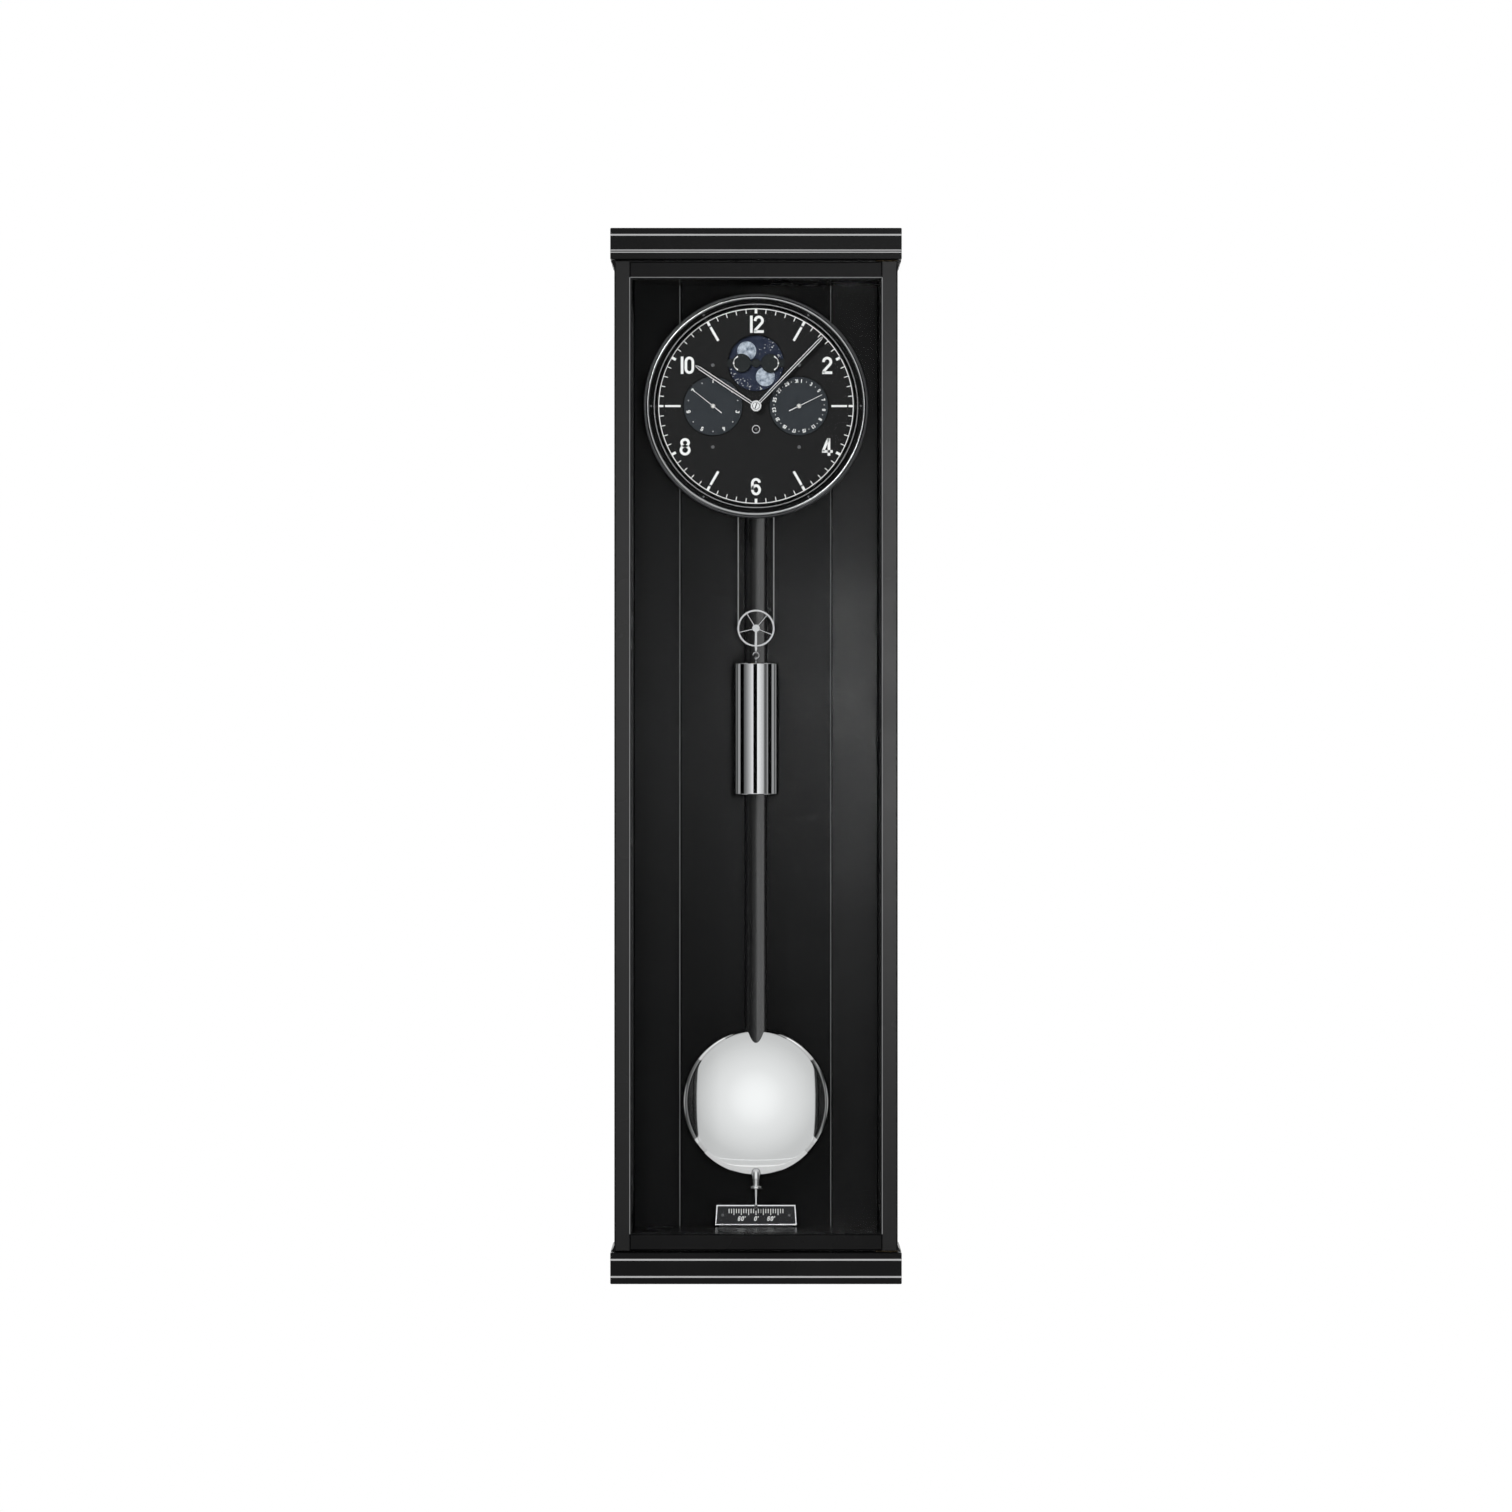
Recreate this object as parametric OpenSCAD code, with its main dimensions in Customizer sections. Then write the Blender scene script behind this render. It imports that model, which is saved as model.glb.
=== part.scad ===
// Weight-driven regulator wall clock with calendar and moon dials, in a glazed case.
// The origin is the centre of the hanger hole in the wall plane. +Z is up and the dial faces -Y.

/* [Case] */
// Width of the cornice and the plinth
case_w = 218; // [214:1:240]
// Height of the whole case
case_h = 790; // [770:1:900]
// Depth from the wall to the front of the cornice
case_d = 150; // [148:1:170]
// Width across the side boards
body_w = 212; // [206:1:214]
// Thickness of a side board
side_t = 13; // [10:0.5:15]
// Width of a side frame's front and rear stiles
side_stile_w = 18; // [14:0.5:24]
// Width of a side frame's top and bottom rails
side_rail_w = 18; // [14:0.5:24]
// Thickness of a side pane
side_pane_t = 3; // [2:0.1:4]
// Depth of the groove in a side frame that holds the pane
side_groove_d = 5; // [3:0.5:7]
// Height of the cornice and of the plinth
moulding_h = 23.5; // [20:0.5:30]
// Thickness of the floor board and the ceiling board
end_board_t = 14; // [10:0.5:16]
// Thickness of the back boards
back_t = 10; // [8:0.5:12]
// Depth of the space between the wall and the back boards
back_recess = 15; // [12:0.5:18]
// Width of the middle back board
middle_board_w = 114.8; // [100:0.2:130]
// Width of the bevel on a back board's long edge
board_bevel = 0.8; // [0.4:0.1:1.5]
// Height of the cove under the cornice
cove_top_h = 10.5; // [8:0.5:14]
// Height of the cove above the plinth
cove_bottom_h = 7.2; // [5:0.2:12]
// Bevel on the edges of the cornice and the plinth
edge_bevel = 0.6; // [0.3:0.1:1]

/* [Inlay] */
// Width of a single inlay line
inlay_w = 1.3; // [1:0.1:1.6]
// Depth of the inlay grooves
inlay_depth = 1; // [0.6:0.1:1.5]
// Drop from the top of the cornice to the single line
cornice_line_drop = 5.2; // [4:0.1:7]
// Drop from the top of the cornice to the middle of the double line
cornice_pair_drop = 17.4; // [14:0.1:19]
// Width of each line of the double line
pair_line_w = 0.75; // [0.5:0.05:1]
// Distance between the middles of the two lines of the double line
pair_pitch = 1.55; // [1.2:0.05:2]
// Height of the upper plinth line above the bottom
plinth_upper_rise = 18.2; // [16:0.1:20]
// Height of the lower plinth line above the bottom
plinth_lower_rise = 5.4; // [4:0.1:8]

/* [Hanging] */
// Drop from the top of the case to the hanger hole
hang_drop = 60; // [55:1:70]
// Diameter of the hanger hole
hanger_hole_d = 8; // [6:0.5:10]
// Thickness of the hanger plate
hanger_t = 4; // [3:0.5:6]
// Width of the hanger plate
hanger_w = 60; // [50:1:80]
// Height of the hanger plate
hanger_h = 30; // [26:1:40]
// Height of the wooden rail behind the back boards
rail_h = 45; // [40:1:60]
// Diameter of the pocket for the head of the wall screw
head_pocket_d = 18; // [14:1:20]

/* [Door] */
// Thickness of the door frame
door_t = 19.5; // [18:0.5:22]
// Distance of the door's front behind the cornice's front
door_setback = 2; // [1:0.5:4]
// Gap between the door and the side boards
door_seat_gap = 0.5; // [0.4:0.1:1]
// Gap above and below the door
door_end_gap = 1.6; // [1.2:0.1:2.5]
// Width of a door stile
stile_w = 12.3; // [11:0.1:16]
// Width of the top rail
top_rail_w = 11.8; // [11:0.1:16]
// Width of the bottom rail
bottom_rail_w = 12.2; // [11:0.1:16]
// Bevel on the front edges of the stiles and rails
frame_bevel = 1; // [0.5:0.1:1.5]
// Thickness of the glass
glass_t = 3; // [2:0.5:4]
// Depth of the rebate that the glass lies in, seen from the front
rebate_w = 4; // [3:0.5:5]
// Distance from the front of the door to the glass
glass_setback = 10; // [8:0.5:12]
// Radius of the rounded heel of the hinge stile, centred on the hinge pin
heel_r = 3; // [2.6:0.1:4]
// Diameter of the hinge pins
hinge_pin_d = 3; // [2.5:0.1:3.2]
// Length of a hinge pin inside the stile
hinge_pin_len = 7; // [5:0.5:10]
// Diameter of the round magnet of the door catch
catch_d = 6; // [5:0.5:7]
// Length of the magnet in the side board
catch_len = 5; // [4:0.5:8]

/* [Dial] */
// Clearance between the bezel and the ceiling board
bezel_top_gap = 10.1; // [6:0.1:30]
// Distance from the wall to the front of the dial plate
dial_reach = 114; // [112:0.5:116]
// Clearance between the bezel and the side boards
bezel_side_gap = 8.6; // [4:0.1:12]
// Thickness of the dial plate
dial_t = 2; // [1.6:0.1:3]
// Width of the bezel
bezel_w = 4.3; // [4:0.1:6]
// Width of the black channel inside the bezel
channel_w = 2.7; // [2.2:0.1:4]
// Width of the polished ring inside the channel
ring_w = 3.4; // [2.5:0.1:5]
// Gap between the dial plate's edge and the bezel
dial_edge_gap = 0.6; // [0.2:0.1:1]
// Height of the bezel's front over the dial
bezel_rise = 7; // [5:0.5:8]
// Depth of the bezel behind the dial's front
bezel_skirt = 6; // [4:0.5:8]
// Distance of a subdial's centre from the dial's centre, and of the moon dial's
subdial_offset = 32.3; // [32:0.1:33]
// Radius of a subdial
subdial_r = 22.8; // [20:0.1:23]
// Radius of the moon aperture
moon_r = 21.6; // [20:0.1:22]
// Sideways distance of the dial screws from the dial's centre
dial_screw_x = 32.4; // [30:0.1:34]
// Height of the dial screws over the dial's centre
dial_screw_z = 30.8; // [29:0.1:32]
// Outer diameter of the winding bush
bush_d = 6.7; // [6:0.1:8]
// Hole of the winding bush
bush_hole_d = 4.4; // [4:0.1:5]

/* [Hands] */
// Clockwise angle of the minute hand
minute_angle = 44; // [0:1:359]
// Clockwise angle of the hour hand
hour_angle = 303.7; // [0:0.1:359]
// Clockwise angle of the weekday hand
weekday_angle = 308.6; // [0:0.1:359]
// Clockwise angle of the date hand
date_angle = 63.9; // [0:0.1:359]
// Distance from the tip of the minute hand to the polished ring
minute_tip_gap = 1.6; // [1:0.1:8]
// Length of the hour hand
hour_len = 55; // [40:0.1:60]
// Width of the minute hand
minute_w = 3; // [2:0.1:4]
// Width of the hour hand
hour_w = 3.5; // [2:0.1:4.5]
// Thickness of the large hands
hand_t = 0.7; // [0.4:0.1:1]
// Length of the weekday hand
weekday_len = 17.4; // [14:0.1:19]
// Length of the date hand
date_len = 19.4; // [14:0.1:20]
// Length of the tails of the small hands
small_tail = 8.4; // [6:0.1:10]

/* [Movement] */
// Thickness of the movement plates
plate_t = 3; // [2.5:0.1:4]
// Distance from the front of the dial to the front plate's front
dial_space = 10; // [10:0.1:11]
// Distance between the plates
plate_gap = 32; // [32:0.5:34]
// Half width of the movement plates
plate_half_w = 38; // [37:0.5:42]
// Height of the plates over the dial's centre
plate_up = 44; // [43:0.5:50]
// Depth of the plates below the dial's centre
plate_down = 46; // [45:0.5:50]
// Diameter of the pillars
pillar_d = 8; // [6:0.5:9]
// Drop from the dial's centre to the winding arbor
barrel_drop = 17.4; // [17.3:0.05:18]
// Height of the pendulum's axis over the dial's centre
pivot_rise = 34; // [33:0.1:36]
// Radius of the escape wheel
escape_r = 13; // [12.8:0.1:13.2]
// Clearance of the pallets outside the tooth tips at mid swing
pallet_clear = 0.08; // [0.05:0.01:0.12]
// Running clearance on the radius of a shaft
run_gap = 0.05; // [0.03:0.01:0.08]
// Thickness taken off each gear tooth for play
tooth_play = 0.06; // [0.05:0.01:0.08]

/* [Weight and line] */
// Distance from the wall to the weight's axis
weight_reach = 90; // [89:0.5:91]
// Drop from the dial's centre to the pulley's axis
pulley_drop = 166.7; // [155:0.1:200]
// Diameter of the weight
weight_d = 34.7; // [30:0.1:35]
// Length of the weight
weight_len = 99.2; // [80:0.1:110]
// Drop from the pulley's axis to the top of the weight
weight_drop = 26.2; // [26:0.1:30]
// Diameter of the line
line_d = 0.9; // [0.7:0.05:1]
// Distance of each fall of the line from the middle
line_r = 13.4; // [13.3:0.05:13.5]
// Diameter of the pulley
pulley_d = 28.1; // [28:0.1:28.6]

/* [Pendulum] */
// Distance from the wall to the pendulum
pendulum_reach = 50; // [48:0.5:51]
// Height of the pendulum's tip over the floor board
tip_lift = 12.6; // [12:0.1:14]
// Diameter of the rod
rod_d = 16.4; // [14:0.1:18]
// Diameter of the bob
bob_d = 112; // [100:0.5:116]
// Thickness of the bob at its middle
bob_t = 27.6; // [24:0.1:34]
// Width of the rounded edge of the bob
bob_edge_w = 4.5; // [3:0.1:8]
// Thickness of the bob where its rounded edge begins
bob_edge_t = 12.8; // [10:0.1:16]
// Thickness of the bob at its rim
bob_rim_t = 2.4; // [1.5:0.1:4]
// Diameter of the steel sleeve under the bob
sleeve_d = 6.6; // [6:0.1:8]
// Height of the slot in the bob's lower edge that takes the sleeve's round top
sleeve_slot_h = 6; // [4:0.1:8]
// Length from the bob's lower edge to the tip
tip_reach = 26.7; // [25:0.1:27.2]

/* [Beat scale] */
// Distance from the wall to the front of the scale plate
scale_reach = 44; // [42:0.5:45]
// Width of the scale plate at its top
scale_top_w = 60.1; // [56:0.1:64]
// Width of the scale plate at its bottom
scale_bottom_w = 62.2; // [58:0.1:66]
// Height of the scale plate
scale_h = 15.6; // [14:0.1:16]
// Gap between the scale plate and the floor
scale_lift = 1.4; // [1:0.1:2]

/* [Hidden] */
$fn = 48;

// small amount by which a cutting body runs past the face that it cuts
cut = 0.5;

// heights
top_z = hang_drop;
bottom_z = top_z - case_h;
side_top = top_z - moulding_h;
side_bottom = bottom_z + moulding_h;
side_h = side_top - side_bottom;
floor_z = side_bottom + end_board_t;
ceiling_z = side_top - end_board_t;
bezel_r = (body_w - 2 * side_t) / 2 - bezel_side_gap;
dial_drop = moulding_h + end_board_t + bezel_top_gap + bezel_r;
dial_z = top_z - dial_drop;
pivot_z = dial_z + pivot_rise;
barrel_z = dial_z - barrel_drop;
tip_drop = bob_d / 2 + tip_reach;
pendulum_len = pivot_z - floor_z - tip_lift - tip_drop;
bob_z = pivot_z - pendulum_len;
pulley_z = dial_z - pulley_drop;
weight_top = pulley_z - weight_drop;

// widths
inner_w = body_w - 2 * side_t;
cove_out = (case_w - body_w) / 2;

// depths, all on -Y
door_front = -(case_d - door_setback);
door_back = door_front + door_t;
side_front = door_back + door_seat_gap;
back_rear = -back_recess;
back_front = back_rear - back_t;
pendulum_y = -pendulum_reach;
weight_y = -weight_reach;
dial_y = -dial_reach;
front_face = dial_y + dial_space;
front_inner = front_face + plate_t;
back_inner = front_inner + plate_gap;
back_face = back_inner + plate_t;

// door
door_top = side_top - door_end_gap;
door_bottom = side_bottom + door_end_gap;
door_h = door_top - door_bottom;
glass_front = door_front + glass_setback;
glass_back = glass_front + glass_t;
glass_side_gap = 0.2;
sight_w = body_w - 2 * stile_w;
sight_top = door_top - top_rail_w;
sight_bottom = door_bottom + bottom_rail_w;
hinge_x = body_w / 2 - heel_r;
hinge_y = door_back - heel_r;
hinge_leaf_t = 0.8;
hinge_leaf_w = 16;
hinge_leaf_d = 7;
catch_z = (side_top + side_bottom) / 2;
catch_x = body_w / 2 - 1.5 - catch_d / 2;
strike_t = 1;

// dial
channel_r = bezel_r - bezel_w;
ring_r = channel_r - channel_w;
sight_r = ring_r - ring_w;
dial_r = channel_r - dial_edge_gap;
minute_len = sight_r - minute_tip_gap;

// movement arbors, as [x, z] from the centre of the dial
centre_at = [0, 0];
barrel_at = [0, -barrel_drop];
anchor_at = [0, pivot_rise];
pallet_half_span = 45;
escape_at = [0, pivot_rise - escape_r / cos(pallet_half_span)];

// teeth: the great wheel turns once in 21 1/3 hours and the escape wheel 80 times an hour
great_teeth = 80;
great_pinion_teeth = 15;
great_module = barrel_drop * 2 / (great_teeth + great_pinion_teeth);
middle_teeth = 72;
middle_pinion_teeth = 18;
middle_module = 0.36;
centre_teeth = 96;
third_pinion_teeth = 12;
centre_module = 0.3;
third_teeth = 100;
escape_pinion_teeth = 10;
third_module = 0.28;
escape_teeth = 30;
cannon_teeth = 24;
minute_teeth = 72;
minute_pinion_teeth = 18;
hour_teeth = 72;
motion_module = 0.4;
hour_module = motion_module * (cannon_teeth + minute_teeth) / (minute_pinion_teeth + hour_teeth);

function mesh_distance(m, a, b) = m * (a + b) / 2;

// the point at distance da from a and db from b, on the chosen side of the line between them
function meeting(a, da, b, db, side) =
    let (d = norm(b - a), along = (da * da - db * db + d * d) / (2 * d),
         off = sqrt(da * da - along * along), u = (b - a) / d)
    a + along * u + side * off * [-u[1], u[0]];

middle_at = meeting(barrel_at, mesh_distance(great_module, great_teeth, great_pinion_teeth),
                    centre_at, mesh_distance(middle_module, middle_teeth, middle_pinion_teeth), 1);
third_at = meeting(centre_at, mesh_distance(centre_module, centre_teeth, third_pinion_teeth),
                   escape_at, mesh_distance(third_module, third_teeth, escape_pinion_teeth), -1);
minute_wheel_angle = 60;
minute_wheel_at = mesh_distance(motion_module, cannon_teeth, minute_teeth)
    * [cos(minute_wheel_angle), sin(minute_wheel_angle)];

// gear proportions, in modules
pressure_angle = 20;
wheel_addendum = 0.8;
pinion_addendum = 0.7;
dedendum = 1.2;
root_relief = 0.72;

function direction(from, to) = atan2(to[1] - from[1], to[0] - from[0]);

// the phase at which gear b meshes with gear a, whose first tooth is at phase_a
function mesh_phase(from, to, na, phase_a, nb) =
    direction(from, to) + 180 + 180 / nb - (phase_a - direction(from, to)) * na / nb;

great_pinion_phase = mesh_phase(barrel_at, middle_at, great_teeth, 0, great_pinion_teeth);
middle_pinion_phase = mesh_phase(middle_at, centre_at, middle_teeth, 0, middle_pinion_teeth);
third_pinion_phase = mesh_phase(centre_at, third_at, centre_teeth, 0, third_pinion_teeth);
escape_pinion_phase = mesh_phase(third_at, escape_at, third_teeth, 0, escape_pinion_teeth);
minute_wheel_phase = mesh_phase(centre_at, minute_wheel_at, cannon_teeth, 0, minute_teeth);
hour_wheel_phase = mesh_phase(minute_wheel_at, centre_at, minute_pinion_teeth, 0, hour_teeth);

// planes of the wheels, counted forward from the inside of the back plate
wheel_t = 1.2;
escape_plane = back_inner - 1;
third_plane = back_inner - 3;
centre_plane = back_inner - 5;
middle_plane = back_inner - 7;
great_plane = back_inner - 9;
great_t = 1.6;
pinion_over = 0.3;
drum_plane = back_inner - 11.3;
ratchet_t = 1.4;
flange_t = 1;
drum_len = front_inner + 2.8;

// arbors
arbor_d = 1.6;
pivot_d = 1;
centre_arbor_d = 2.4;
centre_front_d = 2;
barrel_arbor_d = 3;
barrel_front_d = 3.3;
winding_neck_d = 2.6;
winding_square_setback = 0.6;
winding_square_len = 4.4;
winding_neck_len = dial_space - winding_square_setback - winding_square_len + 0.4;
winding_square = 2.25;
drum_flange_r = 15;
drum_core_r = line_r - line_d / 2 - 0.15;
anchor_arbor_d = 2.4;

// planes in front of the front plate
motion_plane = front_face - 1;
motion_t = 1.2;
hour_plane = front_face - 2.8;
star_plane = front_face - 4.6;
star_t = 1.2;
moon_plane = front_face - 6.8;
moon_t = 0.8;
moon_disc_r = moon_r + 1.6;
cannon_pipe_d = 4;
hour_pipe_d = 6;
dial_centre_hole_d = 8.4;
calendar_arbor_d = 2;
calendar_pivot_d = 1.6;

// planes in front of the dial
subdial_t = 0.5;
subdial_recess = 0.6;
small_hand_plane = dial_y - 0.7;
small_hand_t = 0.3;
small_hub_t = 0.9;
hour_hand_plane = dial_y - 2.6;
minute_hand_plane = hour_hand_plane - hand_t - 1.3;
hour_hub_r = 4.4;
minute_hub_r = 4.35;
nut_r = 2.9;
nut_t = 1.7;

pillar_side_inset = 8;
pillar_end_inset = 7;
pillar_spots = [for (z = [plate_up - pillar_end_inset, pillar_end_inset - plate_down], x = [-1, 1])
    [x * (plate_half_w - pillar_side_inset), z]];
post_inset = 6;
post_at = [-line_r, post_inset - plate_down];
post_d = 4;
dial_post_d = 5;
dial_screw_d = 2.6;

// case parts

module case_block(z0, h) {
    translate([-case_w / 2, -case_d, z0])
        difference() {
            cube([case_w, case_d, h]);
            for (z = [0, h], side = [0, case_w])
                translate([side, -cut, z]) rotate([-90, 0, 0]) bevel_cutter(case_d + 2 * cut);
            for (z = [0, h])
                translate([-cut, 0, z]) rotate([0, 90, 0]) bevel_cutter(case_w + 2 * cut);
        }
}

module bevel_cutter(len, b = edge_bevel) {
    rotate(45) translate([-b / sqrt(2), -b / sqrt(2), 0]) cube([b * sqrt(2), b * sqrt(2), len]);
}

// a band let into the front and both sides of the case
module band(z, h, depth) {
    translate([0, 0, z - h / 2])
        difference() {
            translate([-case_w / 2, -case_d, 0]) cube([case_w, case_d, h]);
            translate([-case_w / 2 + depth, -case_d + depth, -cut])
                cube([case_w - 2 * depth, case_d, h + 2 * cut]);
        }
}

module cornice_bands() {
    band(top_z - cornice_line_drop, inlay_w, inlay_depth);
    for (s = [-0.5, 0.5]) band(top_z - cornice_pair_drop + s * pair_pitch, pair_line_w, inlay_depth);
}

module plinth_bands() {
    for (z = [plinth_upper_rise, plinth_lower_rise]) band(bottom_z + z, inlay_w, inlay_depth);
}

module cornice() {
    color([0.02, 0.02, 0.022])
        difference() {
            case_block(side_top, moulding_h);
            cornice_bands();
        }
}

module plinth() {
    color([0.02, 0.02, 0.022])
        difference() {
            case_block(bottom_z, moulding_h);
            plinth_bands();
        }
}

module inlays() {
    color([0.75, 0.76, 0.78]) {
        cornice_bands();
        plinth_bands();
    }
}

// hollow moulding on the outside of a side board, widest at z = 0
module cove(h) {
    r = (cove_out * cove_out + h * h) / (2 * cove_out);
    difference() {
        translate([0, side_front, 0]) cube([cove_out, -side_front, h]);
        translate([r, cut, h]) rotate([90, 0, 0]) cylinder(r = r, h = -side_front + 2 * cut, $fn = 96);
    }
}

side_window_d = back_front - side_front - 2 * side_stile_w;
side_window_h = ceiling_z - floor_z - 2 * side_rail_w;
side_mid_x = (inner_w + side_t) / 2;
side_groove_gap = 0.1;

// a block of thickness t that fills the window of the right side frame and reaches grow into it all round
module side_window(t, grow) {
    translate([side_mid_x - t / 2, side_front + side_stile_w - grow, floor_z + side_rail_w - grow])
        cube([t, side_window_d + 2 * grow, side_window_h + 2 * grow]);
}

module side_board() {
    difference() {
        translate([inner_w / 2, side_front, side_bottom]) cube([side_t, -side_front, side_h]);
        side_window(side_t + 2 * cut, 0);
        side_window(side_pane_t + 2 * side_groove_gap, side_groove_d);
    }
    translate([body_w / 2, 0, side_bottom]) cove(cove_bottom_h);
    translate([body_w / 2, 0, side_top]) mirror([0, 0, 1]) cove(cove_top_h);
}

module case_sides() {
    color([0.022, 0.022, 0.024]) {
        side_board();
        difference() {
            mirror([1, 0, 0]) side_board();
            translate([-catch_x, side_front + catch_len, catch_z]) rotate([90, 0, 0])
                cylinder(d = catch_d, h = catch_len + cut);
        }
    }
}

module side_panes() {
    color([0.8, 0.9, 0.9, 0.25])
        for (s = [0, 1]) mirror([s, 0, 0]) side_window(side_pane_t, side_groove_d - side_groove_gap);
}

// one upright board with bevels on both front edges
module back_board(x0, x1) {
    translate([0, 0, floor_z])
        linear_extrude(ceiling_z - floor_z)
            polygon([[x0, back_rear], [x0, back_front + board_bevel], [x0 + board_bevel, back_front],
                     [x1 - board_bevel, back_front], [x1, back_front + board_bevel], [x1, back_rear]]);
}

module back_boards() {
    color([0.018, 0.018, 0.02]) {
        back_board(-inner_w / 2, -middle_board_w / 2);
        back_board(-middle_board_w / 2, middle_board_w / 2);
        back_board(middle_board_w / 2, inner_w / 2);
    }
}

module end_boards() {
    color([0.02, 0.02, 0.022])
        for (z = [side_bottom, ceiling_z])
            translate([-inner_w / 2, side_front, z]) cube([inner_w, -side_front, end_board_t]);
}

module hanging_rail() {
    color([0.35, 0.25, 0.16])
        difference() {
            translate([-inner_w / 2, back_rear, ceiling_z - rail_h]) cube([inner_w, back_recess, rail_h]);
            translate([-hanger_w / 2, -hanger_t, -hanger_h / 2]) cube([hanger_w, hanger_t + cut, hanger_h]);
            translate([0, cut, 0]) rotate([90, 0, 0]) cylinder(d = head_pocket_d, h = back_recess - 2 + cut);
            for (x = [-1, 1]) translate([x * hanger_screw_x, cut, 0]) rotate([90, 0, 0])
                cylinder(d = screw_d, h = hanger_t + screw_len + cut);
        }
}

screw_d = 3;
screw_head_d = 6;
screw_head_t = 1.6;
screw_len = 8;
hanger_screw_x = hanger_w / 2 - 7;

module hanger_plate() {
    color([0.6, 0.61, 0.63])
        difference() {
            translate([-hanger_w / 2, -hanger_t, -hanger_h / 2]) cube([hanger_w, hanger_t, hanger_h]);
            translate([0, cut, 0]) rotate([90, 0, 0]) cylinder(d = hanger_hole_d, h = hanger_t + 2 * cut);
            for (x = [-1, 1]) translate([x * hanger_screw_x, cut, 0]) rotate([90, 0, 0]) {
                cylinder(d = screw_d, h = hanger_t + 2 * cut);
                cylinder(d = screw_head_d, h = screw_head_t + cut);
            }
        }
}

// a screw whose head lies at the origin and whose shank runs along +Z
module screw(d, head_d, head_t, len) {
    difference() {
        union() {
            cylinder(d = head_d, h = head_t);
            cylinder(d = d, h = head_t + len);
        }
        translate([-head_d / 2 - cut, -head_d / 16, -cut]) cube([head_d + 2 * cut, head_d / 8, cut + head_t / 3]);
    }
}

module mounting_screws() {
    color([0.55, 0.56, 0.6]) {
        for (x = [-1, 1]) translate([x * hanger_screw_x, 0, 0]) rotate([90, 0, 0])
            screw(screw_d, screw_head_d, screw_head_t, hanger_t + screw_len - screw_head_t);
        for (x = [-1, 1]) translate([x * scale_screw_x, scale_y - scale_screw_head_t, scale_mid_z]) rotate([-90, 0, 0])
            screw(scale_screw_d, scale_screw_head_d, scale_screw_head_t, scale_plate_t + stand_t);
        for (p = pillar_spots) translate([p[0], front_face - plate_screw_head_t, dial_z + p[1]]) rotate([-90, 0, 0])
            screw(plate_screw_d, plate_screw_head_d, plate_screw_head_t, plate_t + plate_screw_len);
    }
}

plate_screw_d = 3;
plate_screw_head_d = 6;
plate_screw_head_t = 1.6;
plate_screw_len = 5;

module door_catch() {
    color([0.6, 0.6, 0.62])
        translate([-catch_x, side_front + catch_len, catch_z]) rotate([90, 0, 0]) cylinder(d = catch_d, h = catch_len);
}

module hinge_pivot() {
    translate([hinge_x + heel_r - hinge_leaf_w, hinge_y + heel_r - hinge_leaf_d, -hinge_leaf_t])
        cube([hinge_leaf_w, hinge_leaf_d, hinge_leaf_t]);
    translate([hinge_x, hinge_y, -door_end_gap - hinge_pin_len])
        cylinder(d = hinge_pin_d, h = door_end_gap + hinge_pin_len);
}

module hinge_pivots() {
    color([0.7, 0.6, 0.35]) {
        translate([0, 0, side_top]) hinge_pivot();
        translate([0, 0, side_bottom]) mirror([0, 0, 1]) hinge_pivot();
    }
}

// beat scale

scale_y = -scale_reach;
scale_plate_t = 1.5;
scale_rim_w = 1.3;
scale_rim_t = 0.3;
scale_bottom_z = floor_z + scale_lift;
scale_mid_z = scale_bottom_z + scale_h / 2;
scale_screw_x = 25.3;
scale_screw_d = 1.2;
scale_screw_head_d = 2.2;
scale_screw_head_t = 0.5;
stand_t = 2.5;
stand_w = 56;
stand_foot = 12;

module scale_outline(in = 0) {
    polygon([[-scale_bottom_w / 2 + in, in], [scale_bottom_w / 2 - in, in],
             [scale_top_w / 2 - in, scale_h - in], [-scale_top_w / 2 + in, scale_h - in]]);
}

module scale_plate() {
    color([0.7, 0.71, 0.73])
        translate([0, scale_y + scale_plate_t, scale_bottom_z]) rotate([90, 0, 0])
            difference() {
                linear_extrude(scale_plate_t) scale_outline();
                translate([0, 0, scale_plate_t - scale_rim_t]) linear_extrude(scale_rim_t + cut) scale_outline(scale_rim_w);
                for (x = [-1, 1]) translate([x * scale_screw_x, scale_h / 2, -cut])
                    cylinder(d = scale_screw_d, h = scale_plate_t + 2 * cut);
            }
}

module scale_stand() {
    rear = scale_y + scale_plate_t;
    color([0.1, 0.1, 0.11])
        difference() {
            union() {
                translate([-stand_w / 2, rear, floor_z]) cube([stand_w, stand_t, scale_h + scale_lift - 1]);
                translate([-stand_w / 2, rear, floor_z]) cube([stand_w, stand_foot, stand_t]);
            }
            for (x = [-1, 1]) translate([x * scale_screw_x, rear - cut, scale_mid_z]) rotate([-90, 0, 0])
                cylinder(d = scale_screw_d, h = stand_t + 2 * cut);
        }
}

// door

// cross-section of a frame member whose visible width is w: x = 0 is the outer edge
module member_section(w) {
    polygon([[0, 0], [0, -door_t + frame_bevel], [frame_bevel, -door_t], [w - frame_bevel, -door_t],
             [w, -door_t + frame_bevel], [w, -door_t + glass_setback],
             [w - rebate_w, -door_t + glass_setback], [w - rebate_w, 0]]);
}

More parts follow.
